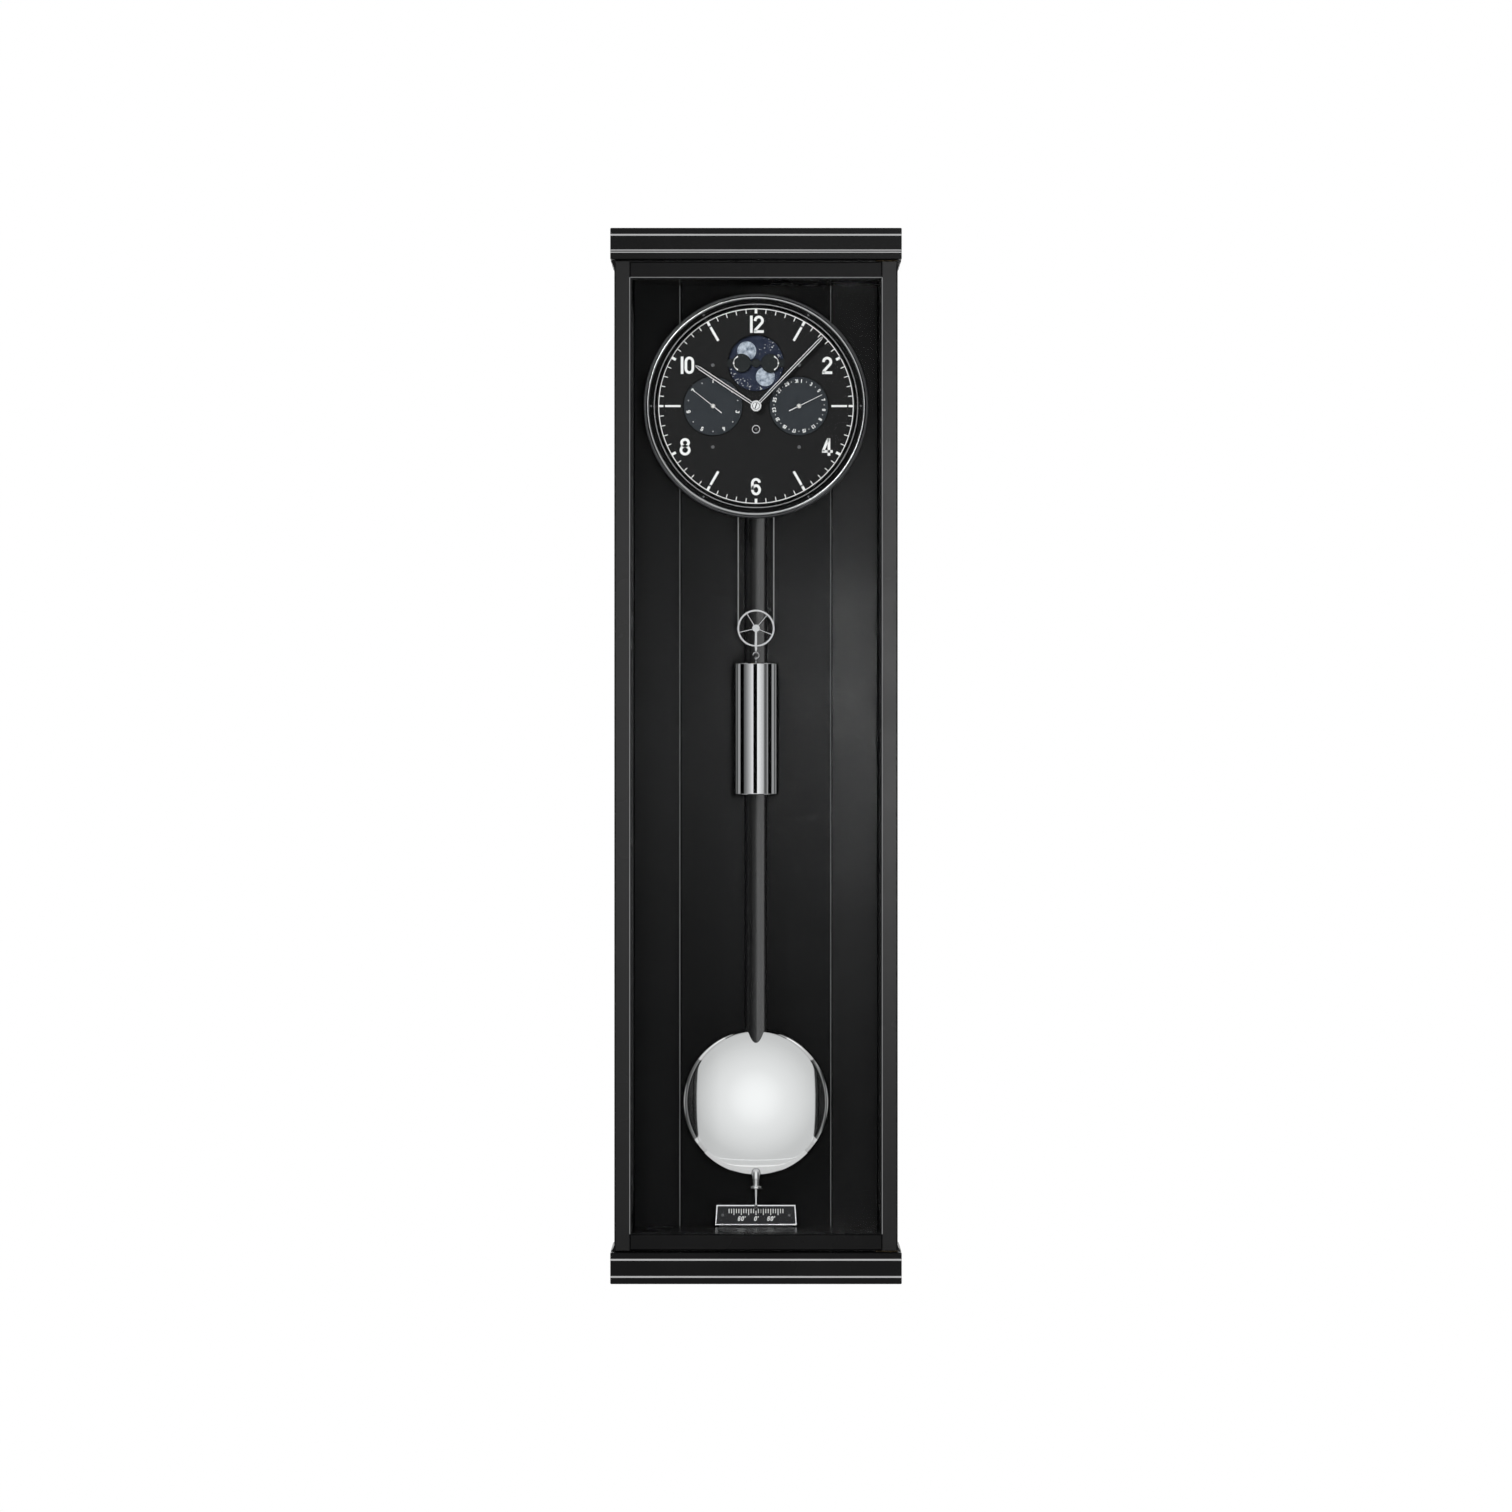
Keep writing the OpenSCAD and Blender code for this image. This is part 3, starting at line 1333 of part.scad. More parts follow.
module bezel_channel() {
    color([0.03, 0.03, 0.032])
        difference() {
            ring_on_dial([[ring_r, 0], [channel_r, 0], [channel_r, channel_rise], [ring_r, channel_rise]]);
            for (i = [0 : 5]) on_axis(polar(channel_mid_r, 60 + i * 60), dial_y + 1)
                cylinder(d = channel_screw_d, h = 1 + channel_rise + cut);
        }
}

channel_rise = 2;
channel_mid_r = (channel_r + ring_r) / 2;
channel_screw_d = 0.9;
channel_screw_head_d = 1.6;

module dial_ring() {
    color([0.8, 0.8, 0.81])
        ring_on_dial([[sight_r, 0], [ring_r, 0], [ring_r, 4], [ring_r - 0.3, 4.3], [ring_r - 1.2, 4.3],
                      [ring_r - 1.5, 4], [sight_r, 0.8]]);
}

module subdial_spots() {
    for (x = [-1, 1]) translate([x * subdial_offset, 0, 0]) children();
}

module dial_plate() {
    color([0.02, 0.02, 0.022])
        on_axis(centre_at, dial_y + dial_t)
            difference() {
                cylinder(r = dial_r, h = dial_t, $fn = 128);
                translate([0, 0, -cut]) cylinder(d = dial_centre_hole_d, h = dial_t + 2 * cut);
                translate([0, -barrel_drop, -cut]) cylinder(d = bush_d, h = dial_t + 2 * cut);
                translate([0, subdial_offset, -cut]) cylinder(r = moon_r, h = dial_t + 2 * cut, $fn = 96);
                subdial_spots() {
                    translate([0, 0, dial_t - subdial_recess]) cylinder(r = subdial_r, h = subdial_recess + cut, $fn = 96);
                    translate([0, 0, -cut]) cylinder(d = calendar_arbor_d + 1, h = dial_t + 2 * cut);
                }
                for (x = [-1, 1], z = [-1, 1]) translate([x * dial_screw_x, z * dial_screw_z, -cut])
                    cylinder(d = dial_shank_d, h = dial_t + 2 * cut);
                for (i = [0 : 5]) translate(concat(polar(channel_mid_r, 60 + i * 60), [dial_t - 1]))
                    cylinder(d = channel_screw_d, h = 1 + cut);
            }
}

module dial_screws() {
    color([0.55, 0.56, 0.6]) {
        for (x = [-1, 1], z = [-1, 1]) on_axis([x * dial_screw_x, z * dial_screw_z], dial_y - 0.5)
            rotate([180, 0, 0]) screw(dial_shank_d, dial_screw_d, 0.5, dial_t + 2.4);
        for (i = [0 : 5]) on_axis(polar(channel_mid_r, 60 + i * 60), dial_y - channel_rise - 0.3)
            rotate([180, 0, 0]) screw(channel_screw_d, channel_screw_head_d, 0.3, channel_rise + 0.9);
    }
}

module subdials() {
    color([0.2, 0.23, 0.27])
        on_axis(centre_at, dial_y + subdial_recess)
            subdial_spots()
                difference() {
                    cylinder(r = subdial_r, h = subdial_t, $fn = 96);
                    translate([0, 0, -cut]) cylinder(d = calendar_arbor_d + 1, h = subdial_t + 2 * cut);
                }
}

// the fixed cover over the moon disc: two round shields joined to a small middle disc and to the rim
cover_spread = 10.9;
cover_r = 6.8;
cover_middle_r = 3;
cover_neck_w = 2.4;
cover_band_w = 5.4;
cover_t = 1.4;

module moon_cover() {
    color([0.03, 0.035, 0.05])
        on_axis([0, subdial_offset], dial_y + 0.3 + cover_t)
            linear_extrude(cover_t) {
                circle(r = cover_middle_r);
                translate([-cover_spread, -cover_neck_w / 2]) square([2 * cover_spread, cover_neck_w]);
                for (s = [-1, 1]) {
                    translate([s * cover_spread, 0]) circle(r = cover_r);
                    intersection() {
                        circle(r = moon_r, $fn = 96);
                        translate([s > 0 ? cover_spread : -moon_r - 1, -cover_band_w / 2])
                            square([moon_r + 1 - cover_spread, cover_band_w]);
                    }
                }
            }
}

module moon_disc() {
    wheel_teeth = 59;
    wheel_r = 20;
    color([0.06, 0.08, 0.16]) {
        on_axis([0, subdial_offset], moon_plane) cylinder(r = moon_disc_r, h = moon_t, $fn = 96);
        on_axis([0, subdial_offset], front_inner) {
            cylinder(d = calendar_pivot_d, h = plate_t + 0.3);
            translate([0, 0, plate_t + 0.3]) cylinder(d = calendar_arbor_d, h = front_face - moon_plane - 0.2);
        }
        on_axis([0, subdial_offset], moon_plane + 0.5)
            linear_extrude(0.5)
                polygon([for (i = [0 : wheel_teeth - 1]) let (a = i * 360 / wheel_teeth)
                    each [polar(wheel_r - 1.2, a), polar(wheel_r, a + 1)]]);
    }
}

module winding_bush() {
    color([0.8, 0.8, 0.81])
        on_axis(barrel_at, dial_y + dial_t)
            difference() {
                union() {
                    cylinder(d = bush_d, h = dial_t + 0.6);
                }
                translate([0, 0, -cut]) cylinder(d = bush_hole_d, h = dial_t + 0.6 + 2 * cut);
            }
}

// hands

// a bar with a pointed end, drawn up along +Y from a round hub
module hand_outline(len, w, root_w, hub_r) {
    difference() {
        union() {
            circle(r = hub_r);
            polygon([[-root_w / 2, 0], [root_w / 2, 0], [w / 2, len - 2.5 * w], [w / 2, len - w],
                     [0, len], [-w / 2, len - w], [-w / 2, len - 2.5 * w]]);
        }
        children();
    }
}

module minute_hand() {
    color([0.75, 0.76, 0.78])
        on_axis(centre_at, minute_hand_plane) rotate(-minute_angle)
            linear_extrude(hand_t) hand_outline(minute_len, minute_w, minute_w * 0.9, minute_hub_r) circle(d = cannon_pipe_d);
}

module hour_hand() {
    color([0.75, 0.76, 0.78])
        on_axis(centre_at, hour_hand_plane) rotate(-hour_angle)
            linear_extrude(hand_t) hand_outline(hour_len, hour_w, hour_w * 0.8, hour_hub_r) circle(d = hour_pipe_d);
}

module cannon_pinion() {
    color([0.6, 0.62, 0.66])
        on_axis(centre_at, motion_plane)
            difference() {
                union() {
                    pinion(cannon_teeth, motion_module, motion_t, 0);
                    cylinder(d = cannon_pipe_d, h = motion_plane - minute_hand_plane + hand_t);
                }
                translate([0, 0, -cut])
                    cylinder(d = centre_front_d + 2 * run_gap, h = motion_plane - minute_hand_plane + hand_t + 2 * cut);
            }
}

module hand_nut() {
    color([0.75, 0.76, 0.78])
        on_axis(centre_at, minute_hand_plane - hand_t)
            difference() {
                cylinder(r = nut_r, h = nut_t);
                translate([0, 0, -cut]) cylinder(d = centre_front_d + 2 * run_gap, h = nut_t - 0.4 + cut);
                translate([-nut_r - cut, -0.4, nut_t - 0.5]) cube([2 * nut_r + 2 * cut, 0.8, 0.5 + cut]);
            }
}

module hour_wheel() {
    color([0.8, 0.68, 0.38])
        on_axis(centre_at, hour_plane)
            difference() {
                union() {
                    spoked_wheel(hour_teeth, hour_module, motion_t, hour_wheel_phase, 4, 1.8);
                    cylinder(d = hour_pipe_d, h = hour_plane - hour_hand_plane + hand_t);
                }
                translate([0, 0, -cut])
                    cylinder(d = cannon_pipe_d + 2 * run_gap, h = hour_plane - hour_hand_plane + hand_t + 2 * cut);
            }
}

module minute_wheel() {
    depth = motion_plane - hour_plane + motion_t;
    color([0.8, 0.68, 0.38])
        on_axis(minute_wheel_at, motion_plane)
            difference() {
                union() {
                    spoked_wheel(minute_teeth, motion_module, motion_t, minute_wheel_phase, 3, 1.8);
                    pinion(minute_pinion_teeth, hour_module, depth, 0);
                }
                translate([0, 0, -cut]) cylinder(d = arbor_d + 2 * run_gap, h = depth + 2 * cut);
            }
}

module small_hand(at, angle, len) {
    color([0.7, 0.71, 0.73])
        on_axis(at, small_hand_plane + (small_hub_t - small_hand_t) / 2) {
            rotate(-angle) translate([0, 0, (small_hub_t - small_hand_t) / 2]) linear_extrude(small_hand_t)
                hand_outline(len, 0.9, 1, 2) {
                    circle(d = calendar_arbor_d);
                }
            rotate(-angle + 180) translate([0, 0, (small_hub_t - small_hand_t) / 2]) linear_extrude(small_hand_t)
                hand_outline(small_tail, 1.1, 1, 2) {
                    circle(d = calendar_arbor_d);
                }
            difference() {
                cylinder(r = 2.2, h = small_hub_t);
                translate([0, 0, -cut]) cylinder(d = calendar_arbor_d, h = small_hub_t + 2 * cut);
            }
        }
}

weekday_star_r = 12;
weekday_star_root_r = 8;
date_star_r = 14;
date_star_root_r = 12.4;

// a star or ratchet wheel on the arbor that carries a small hand through the dial
module star(at, teeth, r_tip, r_root) {
    color([0.8, 0.68, 0.38]) {
        on_axis(at, front_inner) {
            cylinder(d = calendar_pivot_d, h = plate_t + 0.3);
            translate([0, 0, plate_t + 0.3]) cylinder(d = calendar_arbor_d, h = dial_space + 0.7 + small_hub_t - 0.3);
        }
        on_axis(at, star_plane)
            linear_extrude(star_t)
                polygon([for (i = [0 : teeth - 1]) let (a = i * 360 / teeth)
                    each [polar(r_root, a - 180 / teeth), polar(r_tip, a)]]);
    }
}

module weekday_hand() { small_hand([-subdial_offset, 0], weekday_angle, weekday_len); }
module date_hand() { small_hand([subdial_offset, 0], date_angle, date_len); }
module weekday_star() { star([-subdial_offset, 0], 7, weekday_star_r, weekday_star_root_r); }
module date_star() { star([subdial_offset, 0], 31, date_star_r, date_star_root_r); }

case_sides();
side_panes();
back_boards();
end_boards();
cornice();
plinth();
inlays();
hanging_rail();
hanger_plate();
union() {
    mounting_screws();
    dial_screws();
}
door_catch();
hinge_pivots();
scale_stand();
scale_plate();
door_stiles();
door_rails();
door_glass();
door_beads();
door_strike();
movement_bracket();
suspension_cock();
back_plate();
front_plate();
movement_pillars();
line_drum();
great_wheel();
click();
intermediate_wheel();
centre_wheel();
third_wheel();
escape_wheel();
pallet_anchor();
crutch();
pendulum_suspension();
pendulum_rod();
pendulum_bob();
pendulum_tip();
rating_nut();
weight_line();
weight();
pulley_stirrup();
pulley();
dial_plate();
bezel();
bezel_channel();
dial_ring();
subdials();
moon_cover();
winding_bush();
moon_disc();
minute_hand();
cannon_pinion();
hand_nut();
hour_hand();
hour_wheel();
minute_wheel();
weekday_hand();
weekday_star();
date_hand();
date_star();
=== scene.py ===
import math

import bmesh
import bpy
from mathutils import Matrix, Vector


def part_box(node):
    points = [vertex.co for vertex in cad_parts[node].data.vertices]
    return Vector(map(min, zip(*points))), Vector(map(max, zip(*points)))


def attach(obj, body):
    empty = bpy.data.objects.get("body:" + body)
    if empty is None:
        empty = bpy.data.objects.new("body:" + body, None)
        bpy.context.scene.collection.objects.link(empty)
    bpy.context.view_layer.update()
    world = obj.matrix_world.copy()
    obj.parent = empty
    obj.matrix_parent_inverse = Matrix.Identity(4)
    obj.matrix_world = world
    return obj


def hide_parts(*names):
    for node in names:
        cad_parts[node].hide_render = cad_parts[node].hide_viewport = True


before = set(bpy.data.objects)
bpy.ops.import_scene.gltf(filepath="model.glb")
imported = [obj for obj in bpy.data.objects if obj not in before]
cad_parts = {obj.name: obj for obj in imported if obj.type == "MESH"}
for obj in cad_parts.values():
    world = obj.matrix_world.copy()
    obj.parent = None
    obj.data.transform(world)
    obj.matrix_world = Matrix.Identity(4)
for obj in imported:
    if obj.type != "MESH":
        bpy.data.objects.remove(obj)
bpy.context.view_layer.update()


# Carcass
# Two side frames with small coves, a ceiling and a floor board, all board with a black satin lacquer.
# The cornice and the plinth are thicker slabs, glued over the ends of the side frames.

def new_finish(name, colour, roughness, metal=0.0, gloss=0.5):
    """A principled material; returns it with its tree and its shader."""
    finish = bpy.data.materials.new(name)
    finish.use_nodes = True
    tree = finish.node_tree
    shader = tree.nodes["Principled BSDF"]
    shader.inputs["Base Color"].default_value = (*colour, 1)
    shader.inputs["Roughness"].default_value = roughness
    shader.inputs["Metallic"].default_value = metal
    shader.inputs["Specular IOR Level"].default_value = gloss
    return finish, tree, shader


def add_node(tree, kind, values=()):
    """A new shader node with some of its inputs set."""
    node = tree.nodes.new("ShaderNode" + kind)
    for name, value in dict(values).items():
        node.inputs[name].default_value = value
    return node


def grain(tree, scale, detail=2.0, stretch=(1, 1, 1)):
    """Noise through the piece, in metres, drawn out along one way for brushed metal or wood."""
    place = add_node(tree, "TexCoord")
    turn = add_node(tree, "Mapping", {"Scale": stretch})
    noise = add_node(tree, "TexNoise", {"Scale": scale, "Detail": detail})
    tree.links.new(place.outputs["Object"], turn.inputs["Vector"])
    tree.links.new(turn.outputs["Vector"], noise.inputs["Vector"])
    return noise.outputs["Fac"]


def tint(tree, shader, fac, dark, light):
    """Base colour that wanders between two tones."""
    ramp = add_node(tree, "ValToRGB")
    for k, (place, tone) in enumerate(((0.3, dark), (0.7, light))):
        ramp.color_ramp.elements[k].position = place
        ramp.color_ramp.elements[k].color = (*tone, 1)
    tree.links.new(fac, ramp.inputs["Fac"])
    tree.links.new(ramp.outputs["Color"], shader.inputs["Base Color"])


def polish(tree, shader, fac, low, high):
    """Roughness that wanders between two values."""
    span = add_node(tree, "MapRange", {"From Min": 0.3, "From Max": 0.7, "To Min": low, "To Max": high})
    tree.links.new(fac, span.inputs["Value"])
    tree.links.new(span.outputs["Result"], shader.inputs["Roughness"])


def ripple(tree, shader, fac, strength, distance):
    """Fine relief."""
    bump = add_node(tree, "Bump", {"Strength": strength, "Distance": distance})
    tree.links.new(fac, bump.inputs["Height"])
    tree.links.new(bump.outputs["Normal"], shader.inputs["Normal"])


def dress(finish, *nodes):
    """Gives carried-over CAD nodes their finish."""
    for name in nodes:
        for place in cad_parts[name].material_slots:
            place.material = finish


def lacquer(name, colour, roughness, gloss):
    """Satin lacquer: nearly black, faintly cloudy, with the ripple that a spray gun leaves."""
    finish, tree, shader = new_finish(name, colour, roughness, 0, gloss)
    cloud = grain(tree, 18, 3)
    tint(tree, shader, cloud, [0.8 * c for c in colour], [1.2 * c for c in colour])
    polish(tree, shader, cloud, roughness - 0.015, roughness + 0.02)
    ripple(tree, shader, grain(tree, 700, 2), 0.06, 0.00002)
    return finish


case_lacquer = lacquer("case_lacquer", (0.0052, 0.0052, 0.0054), 0.26, 0.1)
slab_lacquer = lacquer("slab_lacquer", (0.0045, 0.0045, 0.0047), 0.27, 0.04)
dress(case_lacquer, "case_sides", "end_boards")
dress(slab_lacquer, "cornice", "plinth")


# Back
# Three upright boards, lacquered like the carcass but flatter, stand side by side against the hanging rail.
# Where they meet, each edge is bevelled, and a thin strip of grey metal on the left arris of the groove
# is a painted highlight.

mm = 0.001
second_joint, joint_half = 57.4, 0.2
board_lacquer = lacquer("board_lacquer", (0.0036, 0.0036, 0.0038), 0.19, 0.05)
tree = board_lacquer.node_tree
along, across = add_node(tree, "TexCoord"), add_node(tree, "SeparateXYZ")
left_end, right_end = (second_joint - joint_half) * mm, (second_joint + joint_half) * mm
third_board = add_node(tree, "MapRange", {"From Min": left_end, "From Max": right_end,
                                          "To Min": 0.036, "To Max": 0.062})
tree.links.new(along.outputs["Object"], across.inputs["Vector"])
tree.links.new(across.outputs["X"], third_board.inputs["Value"])
tree.links.new(third_board.outputs["Result"], tree.nodes["Principled BSDF"].inputs["Specular IOR Level"])
dress(board_lacquer, "back_boards")


def patchy_finish(name, tones, roughness, scale, detail=2, stretch=(1, 1, 1), metal=1, gloss=0.5, relief=()):
    """A finish of one or two tones, one or two values of roughness and a relief, in the same patches."""
    low, high = roughness if isinstance(roughness, tuple) else (roughness, roughness)
    finish, tree, shader = new_finish(name, tones[0], low, metal, gloss)
    patches = grain(tree, scale, detail, stretch)
    if high > low:
        polish(tree, shader, patches, low, high)
    if len(tones) > 1:
        tint(tree, shader, patches, *tones)
    if relief:
        ripple(tree, shader, patches, *relief)
    return finish


def add_object(name, data):
    """A mesh, a light or a camera, put into the scene."""
    thing = bpy.data.objects.new(name, data)
    bpy.context.scene.collection.objects.link(thing)
    return thing


def new_piece(name, shape, finishes, body, smooth=35, face_finish=None):
    """A mesh in millimetres that rides on a CAD body, with the finishes that it is given."""
    points, faces = shape
    mesh = bpy.data.meshes.new(name)
    mesh.from_pydata([(x * mm, y * mm, z * mm) for x, y, z in points], [], faces)
    for finish in finishes if isinstance(finishes, (list, tuple)) else [finishes]:
        mesh.materials.append(finish)
    if face_finish:
        mesh.polygons.foreach_set("material_index", face_finish)
    work = bmesh.new()
    work.from_mesh(mesh)
    bmesh.ops.remove_doubles(work, verts=work.verts, dist=1e-7)
    bmesh.ops.recalc_face_normals(work, faces=work.faces)
    for face in work.faces:
        face.smooth = smooth > 0
    for edge in work.edges:
        edge.smooth = len(edge.link_faces) == 2 and edge.calc_face_angle(0) < math.radians(smooth)
    work.to_mesh(mesh)
    work.free()
    piece = add_object(name, mesh)
    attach(piece, body)
    return piece


def bar(lo, hi, bevel):
    """Corners and faces of a straight bar between two corners, its long edges along z bevelled."""
    (x0, y0, z0), (x1, y1, z1) = lo, hi
    b = bevel
    front, back = [(x0 + b, y0), (x1 - b, y0)], [(x1 - b, y1), (x0 + b, y1)]
    ring = front + [(x1, y0 + b), (x1, y1 - b)] + back + [(x0, y1 - b), (x0, y0 + b)]
    points = [(x, y, z) for z in (z0, z1) for x, y in ring]
    faces = [(i, (i + 1) % 8, 8 + (i + 1) % 8, 8 + i) for i in range(8)]
    return points, faces + [tuple(range(7, -1, -1)), tuple(range(8, 16))]


def gather(*parts):
    """Several lots of corners and faces as one."""
    points, faces = [], []
    for more, ways in parts:
        faces += [tuple(len(points) + i for i in way) for way in ways]
        points += more
    return points, faces


floor_z, ceiling_z, back_front = -692.5, 22.5, -25.0
groove_highlight_half, groove_highlight_proud, highlight_strip_sunk, highlight_strip_arris = 0.27, 0.1, 0.5, 0.1
highlight_strip_metal = patchy_finish("highlight_strip_metal", [(0.36, 0.365, 0.37)], (0.32, 0.4), 300)
# Painted highlights: a thin grey metal strip stands along the left arris of each groove.
back_groove_highlights = [bar((x - groove_highlight_half, back_front - groove_highlight_proud, floor_z),
                  (x + groove_highlight_half, back_front + highlight_strip_sunk, ceiling_z), highlight_strip_arris) for x in (-57.9, 56.9)]
new_piece("back_groove_highlights", gather(*back_groove_highlights), highlight_strip_metal, "case")


# Inlay
# Fine lines of nickel silver run round the cornice and the plinth.
# They are pressed into sawn grooves and rubbed down flush with the lacquer, along the line.

nickel_tones = [(0.46, 0.46, 0.465), (0.66, 0.66, 0.665)]
dress(patchy_finish("inlay_nickel", nickel_tones, (0.28, 0.42), 1500, 3, (0.02, 0.02, 1)), "inlays")


# Hanging
# The clock hangs on one wall screw: a steel plate with a round hole is screwed to a rail of plain oak.
# The rail is glued behind the back boards, and is left bare.

oak_tones = [(0.22, 0.135, 0.07), (0.42, 0.29, 0.17)]
oak = patchy_finish("oak", oak_tones, 0.6, 60, 6, (0.12, 1, 1.6), 0, 0.35, (0.25, 0.0003))
dress(oak, "hanging_rail")

zinc = patchy_finish("zinc", [(0.44, 0.45, 0.48), (0.62, 0.63, 0.65)], (0.32, 0.5), 160, 4)
dress(zinc, "hanger_plate")

screw_steel = patchy_finish("screw_steel", [(0.16, 0.16, 0.165)], (0.22, 0.4), 900)
dress(screw_steel, "mounting_screws")


# Door
# Two stiles and two rails in the same lacquer, hung on pin hinges at the right, hold a pane of coated glass.
# It lies in a rebate behind thin beads. The side frames have panes of the same glass, let into grooves.

dress(case_lacquer, "door_stiles", "door_beads")
dress(slab_lacquer, "door_rails")
dress(zinc, "door_catch", "door_strike")

# The hinge pivots take a brass darkened nearly to black.
hinge_dark_tones = [(0.03, 0.024, 0.016), (0.08, 0.062, 0.036)]
dress(patchy_finish("hinge_brass", hinge_dark_tones, (0.34, 0.48), 500, 3), "hinge_pivots")

coated_glass = bpy.data.materials.new("coated_glass")
coated_glass.use_nodes = True
tree = coated_glass.node_tree
tree.nodes.remove(tree.nodes["Principled BSDF"])
through = add_node(tree, "BsdfTransparent", {"Color": (0.985, 0.99, 0.99, 1)})
glint = add_node(tree, "BsdfGlossy", {"Roughness": 0.02})
how_much = add_node(tree, "Fresnel", {"IOR": 1.06})
both = add_node(tree, "MixShader")
tree.links.new(how_much.outputs["Fac"], both.inputs["Fac"])
tree.links.new(through.outputs["BSDF"], both.inputs[1])
tree.links.new(glint.outputs["BSDF"], both.inputs[2])
tree.links.new(both.outputs["Shader"], tree.nodes["Material Output"].inputs["Surface"])
dress(coated_glass, "door_glass", "side_panes")

door_front, opening_x, top_rail_h, bottom_rail_h = -148.0, 93.7, 11.8, 12.2
opening_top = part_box("door_rails")[1].z / mm - top_rail_h
opening_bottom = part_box("door_rails")[0].z / mm + bottom_rail_h
# Painted highlights: thin grey metal strips along the sides and top of the opening, for the glint on its
# bevel.
upright_x, upright_half, edge_highlight_proud = opening_x + 0.75, 0.34, 0.12
highlight_front, highlight_back = door_front - edge_highlight_proud, door_front + highlight_strip_sunk
upright_highlights = [bar((s * upright_x - upright_half, highlight_front, opening_bottom),
                (s * upright_x + upright_half, highlight_back, opening_top), highlight_strip_arris) for s in (-1, 1)]
top_highlight = bar((-opening_x - 0.4, highlight_front, opening_top - 0.2),
               (opening_x + 0.4, highlight_back, opening_top + 0.25), highlight_strip_arris)
new_piece("door_edge_highlights", gather(*upright_highlights, top_highlight), highlight_strip_metal, "door")


# Beat scale
# A small plate of nickel silver with a raised border stands on the floor board, screwed to a bent black foot.
# The sunk field is painted dark grey and printed with minutes of arc to each side of nought.

scale_front, scale_low, scale_high = -44.0, -691.1, -675.5
scale_half_top, scale_half_low, scale_t = 30.05, 31.1, 1.5
scale_chamfer, border_w, border_slope, field_sunk = 0.2, 1.1, 0.1, 0.3

polished_nickel = patchy_finish("polished_nickel", [(0.88, 0.88, 0.89)], (0.13, 0.2), 260, 3)
field_grey = [(0.026, 0.026, 0.028)]
scale_grey = patchy_finish("scale_grey", field_grey, 0.5, 2500, metal=0, gloss=0.3, relief=(0.15, 0.00002))


def scale_ring(inset, y):
    """The four corners of the plate, drawn in by inset, at depth y."""
    lean = (scale_half_low - scale_half_top) / (scale_high - scale_low)
    low, high = scale_low + inset, scale_high - inset
    half_low, half_high = scale_half_low - inset - lean * inset, scale_half_top - inset + lean * inset
    return [(-half_low, y, low), (half_low, y, low), (half_high, y, high), (-half_high, y, high)]


rings = [scale_ring(0, scale_front + scale_t), scale_ring(0, scale_front + scale_chamfer),
         scale_ring(scale_chamfer, scale_front), scale_ring(border_w - border_slope, scale_front),
         scale_ring(border_w, scale_front + field_sunk)]
points = [p for ring in rings for p in ring]
corners = [(4 * k, i, (i + 1) % 4) for k in range(4) for i in range(4)]
faces = [(k + i, k + j, k + 4 + j, k + 4 + i) for k, i, j in corners]
faces += [(3, 2, 1, 0), (16, 17, 18, 19)]
beat_plate = new_piece("beat_plate", (points, faces), [polished_nickel, scale_grey], "case",
                       20, [0] * (len(faces) - 1) + [1])
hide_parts("scale_plate")

foot_black = [(0.02, 0.02, 0.021)]
dress(patchy_finish("scale_foot", foot_black, (0.4, 0.55), 400, metal=0, gloss=0.3), "scale_stand")


def arc(cx, cy, rx, ry, start, end, steps=14):
    """Points on an ellipse from one angle to another, in degrees anticlockwise from the right."""
    angles = [math.radians(start + (end - start) * i / steps) for i in range(steps + 1)]
    return [(cx + rx * math.cos(a), cy + ry * math.sin(a)) for a in angles]


def digit_lines(digit, w, h, s):
    """Middle lines of the strokes of a plain rounded digit, w by h outside, with strokes of width s."""
    a, left, right, low, high, cx = (w - s) / 2, s / 2, w - s / 2, s / 2, h - s / 2, w / 2
    tall = h - s
    if digit == "0":
        bow = a * 1.15
        sides = arc(cx, high - bow, a, bow, 0, 180) + arc(cx, low + bow, a, bow, 180, 360)
        return [sides + [(right, high - bow)]]
    if digit == "1":
        return [[(cx, 0), (cx, h)]]
    if digit == "2":
        bow = 0.26 * tall
        neck = [(left + 0.04 * w, low + 0.1 * h), (left, low)]
        return [arc(cx, high - bow, a, bow, 184, -38) + neck, [(0, low), (w, low)]]
    if digit == "3":
        top, bowl = 0.235 * tall, 0.265 * tall
        return [arc(cx, high - top, a * 0.92, top, 160, -84), arc(cx, low + bowl, a, bowl, 84, -160)]
    if digit == "4":
        slant = [(0.6 * w, h - 0.1 * s), (0.1 * w, 0.26 * h)]
        return [[(0.65 * w, 0), (0.65 * w, h)], slant, [(0, 0.25 * h), (w, 0.25 * h)]]
    if digit == "5":
        neck, bowl = [(left + 0.1 * w, h), (left + 0.02 * w, 0.5 * h)], 0.29 * tall
        return [[(w * 0.94, high), (left + 0.08 * w, high)], neck,
                arc(cx - 0.03 * w, low + bowl, a * 1.02, bowl, 140, -150)]
    if digit == "6":
        top, bowl = 0.26 * tall, 0.288 * tall
        back = arc(cx, high - top, a, top, 8, 180) + [(left, low + bowl)]
        return [back, arc(cx, low + bowl, a, bowl, 0, 360, 24)]
    if digit == "7":
        return [[(0, high), (w, high)], [(right - 0.02 * w, high), (0.34 * w, 0)]]
    if digit == "8":
        top, bowl = 0.225 * tall, 0.275 * tall
        return [arc(cx, high - top, a * 0.84, top, 0, 360, 24), arc(cx, low + bowl, a, bowl, 0, 360, 24)]
    if digit == "9":
        return [[(w - x, h - y) for x, y in line] for line in digit_lines("6", w, h, s)]
    return [[(cx - 0.2 * s, h), (cx - 0.2 * s, h * 0.72)]]


